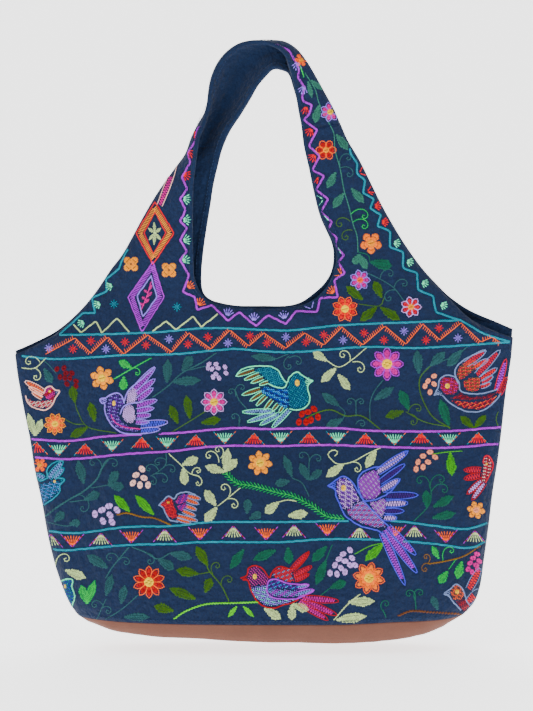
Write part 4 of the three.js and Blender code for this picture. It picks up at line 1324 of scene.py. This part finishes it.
# Twigs, tendrils and leaves.
BRANCHES = (
    # The right arm.
    ("stem", "300,66 302,71 304,77", "bright_green", 2.2),
    ("stem",
     "305,73 315,89 318,100 322,110 330,125 334,134 335,150 340,168 344,190 349,207 353,224 357,236 358,252",
     "grey_green"),
    ("leaf", "308,81 312,98 311,80 322,90", 5.0, "grey_green"),
    ("leaf",
     "319,105 315,123 336,134 348,150 336,172 327,188 351,188 364,203 344,193 333,208 359,254 367,269 "
     "359,254 354,264", 7.6, "grey_green"),
    ("leaf", "370,262 392,266", 11.0, "pine"),
    ("stem", "358,252 368,255 370,262", "pine"),
    ("curl", "340,166 348,158 340,168 349,174", 4.0, "slate"),
    ("curl", "351,214 364,216 353,222 364,226", 4.0, "bright_green"),
    ("curl", "350,221 340,224 352,230 346,237", 4.2, "olive"),
    ("leaf", "363,300 346,286 382,298 374,281 377,307 360,321 380,307 400,320", 9.0, "olive"),
    ("stem", "359,304 379,306 384,298", "olive"),
    ("stem", "363,271 380,279 394,288 404,301", "slate"),
    ("curl", "380,279 390,274 394,288 404,284 396,290 389,298", 4.0, "slate"),
    # The first row, left.
    ("stem", "46,358 35,368 22,368", "pale_green"),
    ("curl", "40,362 29,362 35,368 36,377", 3.8, "pale_green"),
    ("stem", "43,360 49,365 56,373", "slate"),
    ("leaf", "44,368 52,383", 8.0, "slate"),
    ("stem", "114,379 133,368 151,358", "bright_green", 2.0),
    ("leaf", "132,368 119,361 124,376 123,390", 8.0, "bright_green"),
    ("curl", "128,371 137,373", 3.2, "bright_green"),
    ("leaf", "35,436 28,413 35,436 42,419", 7.4, "pale_green"),
    ("stem", "116,433 88,427 78,412 75,402", "olive"),
    ("leaf", "75,403 72,386 95,422 90,402 88,427 70,437", 8.4, "olive"),
    ("stem", "83,424 75,424 66,420", "olive"),
    ("stem", "153,397 168,386 182,373 201,363 216,353", "slate", 2.0),
    ("stem", "189,370 206,366", "slate"),
    ("leaf", "167,383 168,359 182,371 192,356 173,382 201,380", 9.4, "slate"),
    ("stem", "172,432 190,421 206,411", "olive"),
    ("leaf", "190,419 186,395 178,424 170,405 201,423 221,419", 8.6, "olive"),
    ("stem", "247,409 239,400 236,392", "slate"),
    ("curl", "236,396 231,392 236,396 242,388 239,424 234,417", 3.4, "slate"),
    ("stem", "239,418 239,427", "slate"),
    ("leaf", "276,359 251,356", 8.0, "slate"),
    ("stem", "276,359 288,354", "slate"),
    ("curl", "289,356 289,366 289,358 298,362", 3.6, "slate"),
    ("stem", "306,418 319,412 332,410 346,416 362,416 380,429", "olive", 2.0),
    # The first row, right.
    ("stem", "366,348 353,359 339,367 326,360", "pale_green"),
    ("leaf", "327,361 313,352 336,368 321,382 338,374 350,390", 8.2, "pale_green"),
    ("curl", "350,361 343,355 353,362 360,369", 4.6, "pale_green"),
    ("leaf", "419,374 417,350 430,366 445,352 462,350 447,366", 9.4, "slate"),
    ("stem", "467,347 455,356 430,366 421,376", "slate"),
    ("stem", "430,366 420,378 421,395 432,416 450,428", "olive", 1.9),
    ("leaf", "409,410 400,390 449,426 440,399", 9.6, "pine"),
    ("leaf", "404,411 385,417", 8.0, "olive"),
    ("stem", "406,412 425,422 450,427", "olive"),
    ("curl", "408,412 418,409 410,414 413,422", 3.8, "olive"),
    ("stem", "383,380 374,392 370,404 370,421", "slate"),
    ("leaf", "374,400 394,387 339,406 322,393 343,419 326,427", 8.6, "slate"),
    ("stem", "339,406 345,412 343,419; 356,416 356,400", "slate"),
    ("curl", "356,405 350,402 356,405 361,402 356,424 362,424", 3.8, "slate"),
    ("leaf", "474,428 460,416 474,428 486,415", 7.6, "olive"),
    ("stem", "498,426 496,419 498,412", "olive"),
    # The second row, left.
    ("stem", "46,516 56,508 70,499 84,491 97,479 102,468 108,460", "slate", 2.8),
    ("curl", "102,468 93,463 102,468 114,464 78,494 83,508", 4.2, "slate"),
    ("leaf", "84,484 78,460 108,485 118,471 108,485 124,487 84,500 100,493", 9.0, "slate"),
    ("stem", "91,488 108,485; 70,502 84,500; 47,522 67,526 79,522", "slate"),
    ("leaf", "54,522 64,512 69,524 80,522", 8.0, "slate"),
    ("stem", "166,453 166,464 159,471 151,476", "slate"),
    ("curl",
     "166,460 158,463 165,466 172,470 159,471 149,469 156,474 164,480 152,476 153,482", 3.3, "slate"),
    ("stem", "169,454 180,464 189,473 199,476", "pale_green"),
    ("leaf", "182,465 198,458 183,468 185,485", 8.8, "pale_green"),
    ("curl", "192,474 198,471 193,475 198,483", 3.4, "pale_green"),
    ("leaf", "225,472 205,466 225,472 228,448 225,472 237,459", 8.4, "pale_green"),
    ("curl", "219,462 209,456 221,458 218,450", 4.0, "pale_green"),
    ("leaf", "130,512 114,495 154,515 135,495", 8.4, "leaf"),
    ("stem", "117,515 127,513 142,517 154,518 171,525", "bark", 2.6),
    ("stem", "240,488 228,498 218,506", "pale_green"),
    ("leaf", "216,506 205,490 217,507 205,522", 9.2, "pale_green"),
    ("curl", "229,496 224,488 228,499 234,505", 4.2, "pale_green"),
    ("fishbone", "225,472 236,483 253,486 279,493 292,496 312,506 326,516 344,519", "bright_green", 7.0),
    ("leaf", "247,514 248,499 249,519 261,513", 8.4, "slate"),
    ("leaf", "279,502 265,513 288,516 308,513", 9.0, "pale_green"),
    ("stem", "279,502 287,500 296,501", "pale_green"),
    ("stem", "309,496 302,483 292,478; 309,480 309,462", "slate"),
    ("leaf", "290,481 275,484 292,477 284,455 308,480 300,463 309,480 322,470", 7.8, "slate"),
    ("curl", "309,463 302,456 309,463 318,459", 3.8, "slate"),
    # The second row, right.
    ("stem", "380,448 367,454 352,462 338,464 331,459 328,454 333,450 338,452 335,456", "pale_green"),
    ("leaf", "344,464 326,477 376,450 366,468", 8.6, "pale_green"),
    ("curl", "352,462 357,469", 4.0, "pale_green"),
    ("stem", "433,454 447,452 462,451", "leaf"),
    ("leaf", "450,452 452,476", 9.4, "leaf"),
    ("stem", "414,521 429,505 431,491 429,485", "pine"),
    ("curl", "430,488 420,481 430,486 441,480 431,492 444,490", 4.2, "pine"),
    ("leaf", "427,508 426,490 433,507 454,496 432,518 456,513", 8.4, "pine"),
    # The third row, left.
    ("curl", "56,567 66,559", 4.6, "pale_green"),
    ("leaf", "65,570 86,578", 9.0, "pale_green"),
    ("stem", "129,547 119,559 111,569 106,578", "slate", 2.0),
    ("curl", "119,559 110,558 119,560 126,562", 4.2, "slate"),
    ("leaf", "108,568 87,555 158,559 174,569 170,553 192,558", 9.6, "slate"),
    ("stem", "132,547 145,552 158,559 170,553", "slate", 2.0),
    ("curl", "146,553 150,561", 4.0, "slate"),
    ("leaf", "87,604 81,585 87,604 95,580", 8.2, "bright_green"),
    ("stem", "97,619 106,599; 106,619 122,609 138,595", "slate"),
    ("leaf", "106,596 112,574 121,604 125,585 124,617 150,617", 8.2, "slate"),
    ("curl", "103,605 95,605 102,608 108,611", 3.8, "slate"),
    ("stem", "229,601 221,585 210,572 207,566", "olive", 2.0),
    ("leaf",
     "208,566 196,546 199,574 176,570 205,593 211,578 196,599 169,588 174,611 154,606", 9.4, "olive"),
    ("stem", "210,572 199,574", "olive"),
    ("curl", "213,574 217,566 221,585 229,580", 4.0, "olive"),
    ("stem", "174,619 186,611 207,604 234,603 258,602", "lime", 2.8),
    ("leaf", "237,606 228,617 243,606 254,617", 4.6, "lime"),
    ("leaf",
     "244,549 230,569 276,550 253,560 288,547 289,564 327,546 312,562 326,560 316,585 330,588 346,582",
     8.8, "pine"),
    ("stem", "332,545 326,560; 330,588 320,596", "pine"),
    ("leaf", "264,608 281,619 292,604 292,620 292,604 309,610", 8.6, "pale_green"),
    # The third row, right.
    ("stem", "355,554 370,546 384,543", "leaf"),
    ("leaf", "383,544 365,561", 9.0, "leaf"),
    ("stem", "334,620 346,606 360,594", "pale_green", 2.0),
    ("leaf", "348,602 375,601 336,620 367,616", 9.6, "pale_green"),
    ("stem", "480,546 464,556 446,561 428,564", "bark", 2.2),
    ("curl", "428,563 426,557 428,563 425,569", 3.2, "bark"),
    ("leaf", "439,559 432,546", 6.0, "bright_green"),
    ("stem", "456,559 449,569", "bright_green"),
    ("curl", "443,560 451,551", 3.6, "bright_green"),
    ("leaf", "448,571 439,583 462,561 457,579", 8.4, "bright_green"),
    ("leaf", "438,610 432,596", 7.0, "slate"),
    ("stem", "416,609 415,596", "pine"),
    ("curl", "415,600 409,594 415,600 420,593 384,612 386,604", 4.2, "pine"),
    ("stem", "386,617 383,610", "pine"),
    ("stem", "398,616 411,611 428,612 446,613 461,614", "earth", 3.6),
)

# Flowers, buds and berries.
FLOWERS = (
    ("flower", "301,60", 7.0, 6, "orange", None, "gold"),
    ("flower", "330,112", 9.5, 7, "hot_pink", "lavender", "yellow"),
    ("flower", "326,150", 10.0, 6, "crimson", "orange", "gold"),
    ("flower", "371,243", 11.5, 5, "apricot", None, "gold", 0.3, True),
    ("flower", "360,280", 10.0, 7, "magenta", "lavender", "orange"),
    ("flower", "345,309", 12.5, 8, "red", "orange", "yellow", 0.4),
    ("flower", "411,307", 10.0, 7, "rose", "lilac", "gold"),
    ("flower", "102,378", 12.5, 6, "gold", None, "yellow", 0.3, True),
    ("flower", "55,424", 10.5, 9, "orange", "gold", "yellow", 0.2),
    ("flower", "214,402", 12.5, 8, "hot_pink", "lilac", "yellow"),
    ("flower", "387,364", 16.0, 8, "magenta", "orchid", "yellow"),
    ("flower", "40,465", 7.5, 6, "orange", None, "gold"),
    ("flower", "260,463", 13.0, 7, "gold", None, "yellow", 0.1, True),
    ("flower", "476,510", 9.5, 6, "gold", None, "peach", 0.2, True),
    ("flower", "149,582", 15.5, 10, "crimson", "orange", "yellow", 0.3),
    ("flower", "369,578", 15.5, 8, "apricot", "orange", "yellow", 0.2, True),
    ("berries", "57,369 64,368 60,377 66,373 72,373 65,378 70,378 67,384 76,381 76,386", "wine", 3.0),
    ("berries",
     "209,364 216,364 225,367 212,369 218,368 226,373 216,374 213,377 219,378 208,368", "lilac", 2.7),
    ("berries", "314,409 308,412 302,414 311,420 318,417 306,422 299,422", "crimson", 3.6),
    ("berries", "434,376 428,381 425,386 434,384 430,392", "peach", 3.0),
    ("berries", "142,469 136,475 144,478 133,483 140,485 148,485", "blush", 3.6),
    ("berries", "109,506 102,510 117,510 95,514 110,515 103,521 112,522", "lilac", 3.8),
    ("berries", "430,452 423,456 435,457 418,462 428,462 423,467 416,469", "peach", 3.2),
    ("berries",
     "350,550 343,554 352,558 339,559 345,561 335,565 341,568 350,565 355,565 330,573 337,574 345,572",
     "lilac", 3.4),
    ("berries", "477,554 473,558 479,561 470,563 476,565 468,569 472,572 477,569", "hot_pink", 2.9),
)



def drawn(motifs, seed):
    """A chart with motifs on it, each a kind, its points and the rest of its makings."""
    chart = Chart(seed)
    lines = {
        "chain": (chart.chain, ()), "stem": (chart.stem, ()), "fishbone": (chart.fishbone, ()),
        "comb": (chart.comb, ()), "berries": (chart.berries, ()), "area": (chart.seeded, ()),
        "zigzag": (chart.chain, (2.4, 0.0, False)), "edge": (chart.chain, (2.0, 2.3, 0.35)),
        "hatch": (chart.hatch, ()), "solid": (chart.seeded, (0.95, 3.0, 0.12)),
    }
    scattered = {"star": chart.star, "tuft": chart.tuft, "lobes": chart.lobes}
    for kind, points, *rest in motifs:
        if kind in lines:
            draw, always = lines[kind]
            for line in points.split(";"):
                draw(at(line), *rest, *always)
            continue
        p = at(points)
        if kind in scattered:
            for centre in p:
                scattered[kind](centre, *rest)
        elif kind == "leaf":
            for base, tip in zip(p[0::2], p[1::2]):
                chart.leaf(base, tip, *rest)
        elif kind == "curl":
            for start, centre in zip(p[0::2], p[1::2]):
                turn = 1.0 if centre[0] > start[0] else -1.0
                chart.curl(start, centre, rest[0], turn, rest[1])
        elif kind == "flower":
            chart.flower(p[0], *rest)
        elif kind == "feather":
            widths, fills, edge = rest
            fills = fills.split() * (1 if " " in fills else len(widths))
            for base, tip, width, fill in zip(p[0::2], p[1::2], widths, fills):
                chart.feather(base, tip, width, fill, edge)
        elif kind == "eye":
            chart.blob(p[0], *rest, "yellow", 0.0, 0.6)
        else:
            raise ValueError("unknown motif " + kind)
    return chart


def borders_chart(seed):
    chart = drawn(BORDERS, seed)
    for tips, way, fill, first, second, half, height in TRIANGLES:
        for x, y in at(tips):
            left, right = (x - half, y - way * height), (x + half, y - way * height)
            chart.twist(np.array([left, (x, y), right]), first, second)
            chart.fan((x, y), left, right, fill)
    for area in COVERED:
        middles = np.array([((r[0] + r[2]) / 2, (r[1] + r[3]) / 2) for r in chart.rows])
        hidden = inside(at(area), middles)
        chart.rows = [r for r, gone in zip(chart.rows, hidden) if not gone]
    return chart


# Sewing the chart on to the cloth


# How much richer and deeper than it looks a thread is dyed.
RICHER, DEEPER = 1.28, 1.16


def dyed(rgb):
    """A thread's colour as it must be dyed to look like rgb in soft light."""
    deep = np.array(linear(rgb))
    grey = deep.mean()
    return np.clip(grey + (deep - grey) * RICHER, 0.002, 1.0) ** DEEPER


# A stitch isn't sewn where the cloth turns from the chart or the thread would jump a fold.
LEAST_FACING, LONGEST_UNIT, SHORTEST = 0.12, 0.0016, 2e-4
# A stitch follows the cloth in as many straight runs as it is times this long, up to three.
STRAIGHT_RUN = 0.0045


class Sewing:
    """Casts the chart's points on to the outer cloth, and lists the stitches that land on it."""

    def __init__(self, form, stage, front):
        self.stage, self.front = stage, front
        points, faces = [], []
        sheets = [panel_bmesh(form, FRONT if front else BACK), strap_bmesh(form)]
        for bm in sheets:
            first = len(points)
            points.extend(v.co.copy() for v in bm.verts)
            faces.extend([first + v.index for v in f.verts] for f in bm.faces)
            bm.free()
        self.tree = BVHTree.FromPolygons(points, faces)

    def cast(self, x, y):
        """Where the chart's point lies on the cloth, and the cloth's direction there."""
        eye, look = chart_eye(self.stage)
        right = Vector((1.0, 0.0, 0.0))
        above = right.cross(look)
        scale = self.stage.unit / self.stage.distance
        ray = (look + right * (x - CHART_SIZE[0] / 2) * scale
               + above * (CHART_SIZE[1] / 2 - y) * scale)
        if not self.front:
            eye.y, ray.y = -eye.y, -ray.y
        place, normal, _, _ = self.tree.ray_cast(eye, ray.normalized())
        if place is None or normal.dot(ray) > -LEAST_FACING * ray.length:
            return None
        return place, normal

    def sewn(self, chart, thread, seed):
        """Arrays of the stitches that land on the cloth."""
        a, b, n, look, fat = [], [], [], [], []
        random = np.random.default_rng(seed)
        for x0, y0, x1, y1, name, width, lift in chart.rows:
            start, end = self.cast(x0, y0), self.cast(x1, y1)
            if start is None or end is None:
                continue
            run = (end[0] - start[0]).length
            longest = LONGEST_UNIT * (math.hypot(x1 - x0, y1 - y0) + 2.0)
            if not SHORTEST <= run <= longest:
                continue
            pieces = 1 if run < STRAIGHT_RUN else 2 if run < 2 * STRAIGHT_RUN else 3
            knots = [start]
            for k in range(1, pieces):
                t = k / pieces
                between = self.cast(x0 + (x1 - x0) * t, y0 + (y1 - y0) * t)
                knots.append(between or start)
            knots.append(end)
            shade = dyed(THREADS[name])
            bright = random.uniform(0.80, 1.14)
            for (p, m), (q, o) in pairs(knots):
                normal = (m + o).normalized()
                off = normal * (lift + 0.25) * thread
                a.append(p + off)
                b.append(q + off)
                n.append(normal)
                fat.append(width * thread)
                look.append([c * bright for c in shade])
        return [np.array(v, float) for v in (a, b, n, fat, look)]


def thread_object(name, a, b, n, fat, look):
    """Stitches joined into one mesh: each is a rounded thread whose ends dip into the cloth, with painted
    shade darkening its tips and underside.
    """
    d = unit(b - a)
    side = unit(np.cross(n, d))
    n = unit(np.cross(d, side))
    run = np.linalg.norm(b - a, axis=1)[:, None]
    r = fat[:, None]
    inset = np.minimum(r * 0.9, run * 0.3)
    ring = ((1.0, 0.0), (0.0, 0.95), (-1.0, 0.0), (0.0, -0.55))
    corners = [a - n * r * 0.55 - d * r * 0.35]
    for end in (a + d * inset, b - d * inset):
        corners += [end + side * r * s + n * r * u for s, u in ring]
    corners.append(b - n * r * 0.55 + d * r * 0.35)
    points = np.stack(corners, axis=1)
    faces = []
    for k in range(4):
        m = (k + 1) % 4
        faces += [(0, 1 + m, 1 + k), (1 + k, 1 + m, 5 + m), (1 + k, 5 + m, 5 + k), (9, 5 + k, 5 + m)]
    faces = (np.array(faces)[None] + np.arange(len(a))[:, None, None] * 10).reshape(-1, 3)
    mesh = bpy.data.meshes.new(name)
    mesh.from_pydata(points.reshape(-1, 3), [], faces)
    tone = np.ones((len(a), 10, 4))
    tone[:, :, :3] = look[:, None]
    # Painted shade: both tips, where the stitch dips into the cloth, and the lower ring corners facing the
    # cloth are darkened.
    tone[:, (0, 9), :3] *= 0.55
    tone[:, (4, 8), :3] *= 0.6
    dyed = mesh.color_attributes.new("thread_colour_and_shade", "FLOAT_COLOR", "POINT")
    dyed.data.foreach_set("color", tone.reshape(-1).clip(0, 1).astype(np.float32))
    mesh.polygons.foreach_set("use_smooth", np.ones(len(mesh.polygons), bool))
    mesh.materials.append(thread_finish())
    made = bpy.data.objects.new(name, mesh)
    bpy.context.scene.collection.objects.link(made)
    finished(made)


def run_length(path):
    """How far along the path each of its points lies."""
    return np.concatenate([[0], np.cumsum(np.linalg.norm(np.diff(path, axis=0), axis=1))])


def run_stitches(line, away):
    """Ends and directions of running stitches along a line of points."""
    run = run_length(line)
    starts = np.arange(0, run[-1] - RUNNING_REACH, RUNNING_PITCH)

    def read(table, where):
        return np.stack([np.interp(where, run, table[:, k]) for k in range(3)], axis=1)

    return read(line, starts), read(line, starts + RUNNING_REACH), unit(read(away, starts))


# Operators, one for each piece or group of like pieces


def form_now():
    return BagForm(bpy.context.scene.bag_sizes)


class BagOperator(bpy.types.Operator):
    """What the bag's operators share"""

    bl_options = {"REGISTER", "UNDO"}


def sheet_piece(bm, node, thickness, outside):
    """A sheet of cloth as a finished piece, walled inwards, that replaces its solid."""
    made = into_object(bm, node + "_cloth", cloth_finish() if outside else plain_finish())
    physical_uv(made)
    walled(made, thickness)
    finished(made, node)


class BAG_OT_panels(BagOperator):
    """Make the two embroidered cloth panels with their arms"""

    bl_idname = "bag.panels"
    bl_label = "Front and Back Panels"

    def execute(self, context):
        for face, name in ((FRONT, "front_panel"), (BACK, "back_panel")):
            sheet_piece(panel_bmesh(form_now(), face), name, context.scene.bag_sizes.cloth, True)
        return {"FINISHED"}


class BAG_OT_strap(BagOperator):
    """Make the embroidered strap, one wide band folded lengthwise"""

    bl_idname = "bag.strap"
    bl_label = "Shoulder Strap"

    def execute(self, context):
        cloth = context.scene.bag_sizes.cloth
        sheet_piece(strap_bmesh(form_now()), "shoulder_strap", cloth, True)
        return {"FINISHED"}


LINING_RINGS = 20
LEATHER_RINGS = 30


class BAG_OT_linings(BagOperator):
    """Make the plain linings of the panels and the strap"""

    bl_idname = "bag.linings"
    bl_label = "Linings"

    def execute(self, context):
        form = form_now()
        s = form.s
        within = -(s.cloth + s.clearance)
        deeper = s.leather + s.clearance
        for face, name in ((FRONT, "front_lining"), (BACK, "back_lining")):
            bm = panel_bmesh(form, face)
            moved_by(bm, lambda place: within)
            tray = form.tray_grid(face, LINING_RINGS)
            # The lining's floor lies inside the leather, and meets the panel's lining.
            tray[..., 1] -= SIDE[face] * deeper * smoothstep(np.abs(tray[..., 1]), 0.0, 0.01)
            tray[..., 0] *= 1 - deeper / (s.body_width / 2)
            tray[..., 2] += deeper
            add_grid(bm, tray)
            bmesh.ops.remove_doubles(bm, verts=bm.verts, dist=WELD)
            sheet_piece(bm, name, s.lining, False)
        bm = strap_bmesh(form)
        moved_by(bm, lambda place: within)
        sheet_piece(bm, "strap_lining", s.lining, False)
        return {"FINISHED"}


class BAG_OT_base(BagOperator):
    """Make the shallow leather base"""

    bl_idname = "bag.base"
    bl_label = "Leather Base"

    def execute(self, context):
        form = form_now()
        seam = form.corner - form.s.body_height
        bm = bmesh.new()
        for face in (FRONT, BACK):
            add_grid(bm, form.tray_grid(face, LEATHER_RINGS))
        weld(bm)
        face_way(bm, lambda f: -f.normal.z * f.calc_area())

        def creased(place):
            x, y, z = place
            ends = 0.35 + 0.65 * float(smoothstep(abs(x), 0.06, 0.19))
            hold = float(smoothstep(seam - z, 0.0, 0.008))
            crease = noise.noise(Vector((x * 95 + z * 60, y * 20, z * 75 - x * 22)))
            soft = noise.noise(Vector((x * 24, y * 24, z * 40 + 4.0)))
            return hold * (0.0010 * crease * ends + 0.0011 * soft)

        moved_by(bm, creased)
        made = into_object(bm, "leather_base_hide", leather_finish())
        walled(made, form.s.leather)
        finished(made, "leather_base")
        return {"FINISHED"}


class BAG_OT_hems(BagOperator):
    """Make the turned hems of the mouth, over the edge of both layers"""

    bl_idname = "bag.hems"
    bl_label = "Hems"

    def execute(self, context):
        form = form_now()
        s = form.s
        stack = s.cloth + s.clearance + s.lining
        # Across the cloth, then down into it.
        section = [
            (0.00010, 0.0030), (0.00042, 0.0022), (0.00050, 0.0004), (0.00025, -0.0006),
            (-stack / 2, -0.0010), (-stack - 0.0005, -0.0007), (-stack - 0.0009, 0.0006),
            (-stack - 0.0009, s.hem_width - 0.0006), (-stack - 0.0004, s.hem_width),
            (-stack + 0.0002, s.hem_width), (-stack + 0.0004, 0.0012), (-0.0004, 0.0012),
        ]
        for face, name in ((FRONT, "front_hem"), (BACK, "back_hem")):
            centres, down, outwards = form.hem(face)
            bm = bmesh.new()
            swept(bm, centres, outwards, down, section)
            made = into_object(bm, name, plain_finish())
            physical_uv(made)
            finished(made)
        return {"FINISHED"}


RUNNING_PITCH, RUNNING_REACH = 0.0032, 0.0021
RUNNING_RADIUS = 0.00034
RUNNING_THREAD = (32, 52, 88)
LEATHER_SEAM_POINTS = 400


class BAG_OT_seams(BagOperator):
    """Sew the running stitches of the hems and the leather's seam"""

    bl_idname = "bag.seams"
    bl_label = "Seam Stitches"

    def execute(self, context):
        form = form_now()
        s = form.s
        sewn = []
        inside_hem = s.cloth + s.clearance + s.lining + 0.0010
        for face in (FRONT, BACK):
            centres, down, outwards = form.hem(face)
            for depth, off, way in (
                    (s.hem_width - 0.0012, -inside_hem, -1), (s.hem_width + 0.0004, 0.0003, 1)):
                line = centres + down * depth + outwards * off
                sewn.append(run_stitches(line, outwards * way))
        count = LEATHER_SEAM_POINTS
        for face in (FRONT, BACK):
            line = form.body(face, np.linspace(-0.97, 0.97, count), np.full(count, 0.012))
            line[:, 1] += SIDE[face] * 0.0006
            sewn.append(run_stitches(line, np.tile([0.0, SIDE[face], 0.0], (count, 1))))
        a, b, n = (np.concatenate(part) for part in zip(*sewn))
        tone = np.tile(linear(RUNNING_THREAD), (len(a), 1))
        thread_object("seam_stitches", a, b, n, np.full(len(a), RUNNING_RADIUS), tone)
        return {"FINISHED"}


class Embroiderer(BagOperator):
    """What the embroidering operators share: one chart, sewn on the front and the back"""

    sort, seed = "", 0

    def execute(self, context):
        scene = context.scene
        for front in (True, False):
            sewing = Sewing(form_now(), scene.bag_stage, front)
            stitches = sewing.sewn(self.chart(), scene.bag_sizes.thread, self.seed)
            thread_object(("front_" if front else "back_") + self.sort, *stitches)
        return {"FINISHED"}


class BAG_OT_borders(Embroiderer):
    """Sew the lines, zigzags, stars and fans"""

    bl_idname = "bag.borders"
    bl_label = "Embroidered Borders"
    sort, seed = "borders", 11

    def chart(self):
        return borders_chart(3)


class BAG_OT_branches(Embroiderer):
    """Sew the twigs, tendrils and leaves"""

    bl_idname = "bag.branches"
    bl_label = "Embroidered Branches"
    sort, seed = "branches", 13

    def chart(self):
        return drawn(BRANCHES, 5)


class BAG_OT_flowers(Embroiderer):
    """Sew the flowers, buds and berries"""

    bl_idname = "bag.flowers"
    bl_label = "Embroidered Flowers"
    sort, seed = "flowers", 17

    def chart(self):
        return drawn(FLOWERS, 7)


class BAG_OT_birds(Embroiderer):
    """Sew the birds"""

    bl_idname = "bag.birds"
    bl_label = "Embroidered Birds"
    sort, seed = "birds", 19

    def chart(self):
        return drawn(BIRDS, 9)


class BAG_OT_sheets(BagOperator):
    bl_idname = "bag.sheets"
    bl_label = "Declare the Sheets"

    def execute(self, context):
        return {"FINISHED"}


# The floor runs flat, bends upwards and then stands as a wall well behind every view.
FLOOR_FRONT, FLOOR_HALF_WIDTH = -7.0, 14.0
FLOOR_FLAT, FLOOR_BEND, FLOOR_RUN = 10.0, 5.4, 21.6
PAPER_GLOW, WORLD_LIGHT = 2.0, 0.6
SENSOR = 36.0
SOFTBOXES = (
    # name, place, size, power
    ("key_softbox", (-1.1, -2.0, 1.3), 1.6, 24.0),
    ("fill_softbox", (1.6, -1.9, 0.4), 1.8, 5.0),
    ("top_softbox", (0.1, -0.3, 1.9), 1.8, 12.0),
    ("back_softbox", (0.2, 2.2, 1.0), 1.8, 12.0),
)


class BAG_OT_stage(BagOperator):
    """Make the floor, the backdrop, the lights and the camera"""

    bl_idname = "bag.stage"
    bl_label = "Stage"

    def execute(self, context):
        stage = context.scene.bag_stage
        self.backdrop(context, CAD_BOX[0].z - stage.floor_gap)
        world = bpy.data.worlds.new("studio")
        context.scene.world = world
        world.use_nodes = True
        background = world.node_tree.nodes["Background"]
        background.inputs["Color"].default_value = (1.0, 1.0, 1.0, 1.0)
        background.inputs["Strength"].default_value = WORLD_LIGHT
        aim = Vector((0.0, 0.0, stage.aim_z))
        for name, place, size, power in SOFTBOXES:
            lamp = bpy.data.lights.new(name, "AREA")
            lamp.shape, lamp.size, lamp.energy = "SQUARE", size, power
            self.placed(context, name, lamp, Vector(place), aim - Vector(place))
        lens = bpy.data.cameras.new("camera")
        lens.sensor_width = SENSOR
        lens.lens = SENSOR * stage.distance / (CHART_SIZE[1] * stage.unit)
        lens.clip_end = 50.0
        context.scene.camera = self.placed(context, "camera", lens, *chart_eye(stage))
        return {"FINISHED"}

    def placed(self, context, name, data, place, look):
        """A light or camera at a place, turned to look along a direction."""
        made = bpy.data.objects.new(name, data)
        made.location = place
        made.rotation_euler = look.to_track_quat("-Z", "Y").to_euler()
        context.scene.collection.objects.link(made)
        return made

    def backdrop(self, context, bottom):
        radius = FLOOR_BEND / (math.pi / 2)
        bm = bmesh.new()
        bmesh.ops.create_grid(bm, x_segments=2, y_segments=60, size=1.0)
        for v in bm.verts:
            run = (v.co.y + 1) / 2 * FLOOR_RUN
            turn = min(max(run - FLOOR_FLAT, 0.0), FLOOR_BEND) / radius
            v.co = Vector((
                v.co.x * FLOOR_HALF_WIDTH,
                FLOOR_FRONT + min(run, FLOOR_FLAT) + radius * math.sin(turn),
                bottom + radius * (1 - math.cos(turn)) + max(run - FLOOR_FLAT - FLOOR_BEND, 0.0)))
        for f in bm.faces:
            if f.normal.z < 0:
                f.normal_flip()
        colour_now = context.scene.bag_colours.backdrop
        paper = finish("pale_paper", backdrop_material, colour_now, PAPER_GLOW)
        into_object(bm, "floor", paper)


PIECES = (
    BAG_OT_panels, BAG_OT_strap, BAG_OT_linings, BAG_OT_base, BAG_OT_hems, BAG_OT_seams,
    BAG_OT_borders, BAG_OT_branches, BAG_OT_flowers, BAG_OT_birds, BAG_OT_sheets,
)

class BAG_PT_sidebar(bpy.types.Panel):
    """The bag's panel in the sidebar"""

    bl_idname = "BAG_PT_sidebar"
    bl_label = "Embroidered Bag"
    bl_space_type = "VIEW_3D"
    bl_region_type = "UI"
    bl_category = "Bag"

    def draw(self, context):
        column = self.layout.column()
        for operator in (*PIECES, BAG_OT_stage):
            column.operator(operator.bl_idname)
        for group in (context.scene.bag_sizes, context.scene.bag_colours, context.scene.bag_stage):
            box = self.layout.box()
            for name in group.__annotations__:
                box.prop(group, name)


CLASSES = (BagSizes, BagColours, BagStage, *PIECES, BAG_OT_stage, BAG_PT_sidebar)


def register():
    for each in CLASSES:
        bpy.utils.register_class(each)
    bpy.types.Scene.bag_sizes = PointerProperty(type=BagSizes)
    bpy.types.Scene.bag_colours = PointerProperty(type=BagColours)
    bpy.types.Scene.bag_stage = PointerProperty(type=BagStage)


def unregister():
    for name in ("bag_stage", "bag_colours", "bag_sizes"):
        delattr(bpy.types.Scene, name)
    for each in reversed(CLASSES):
        bpy.utils.unregister_class(each)


def main():
    register()
    for operator in (BAG_OT_stage, *PIECES):
        group, name = operator.bl_idname.split(".")
        getattr(getattr(bpy.ops, group), name)()


if __name__ == "__main__":
    main()
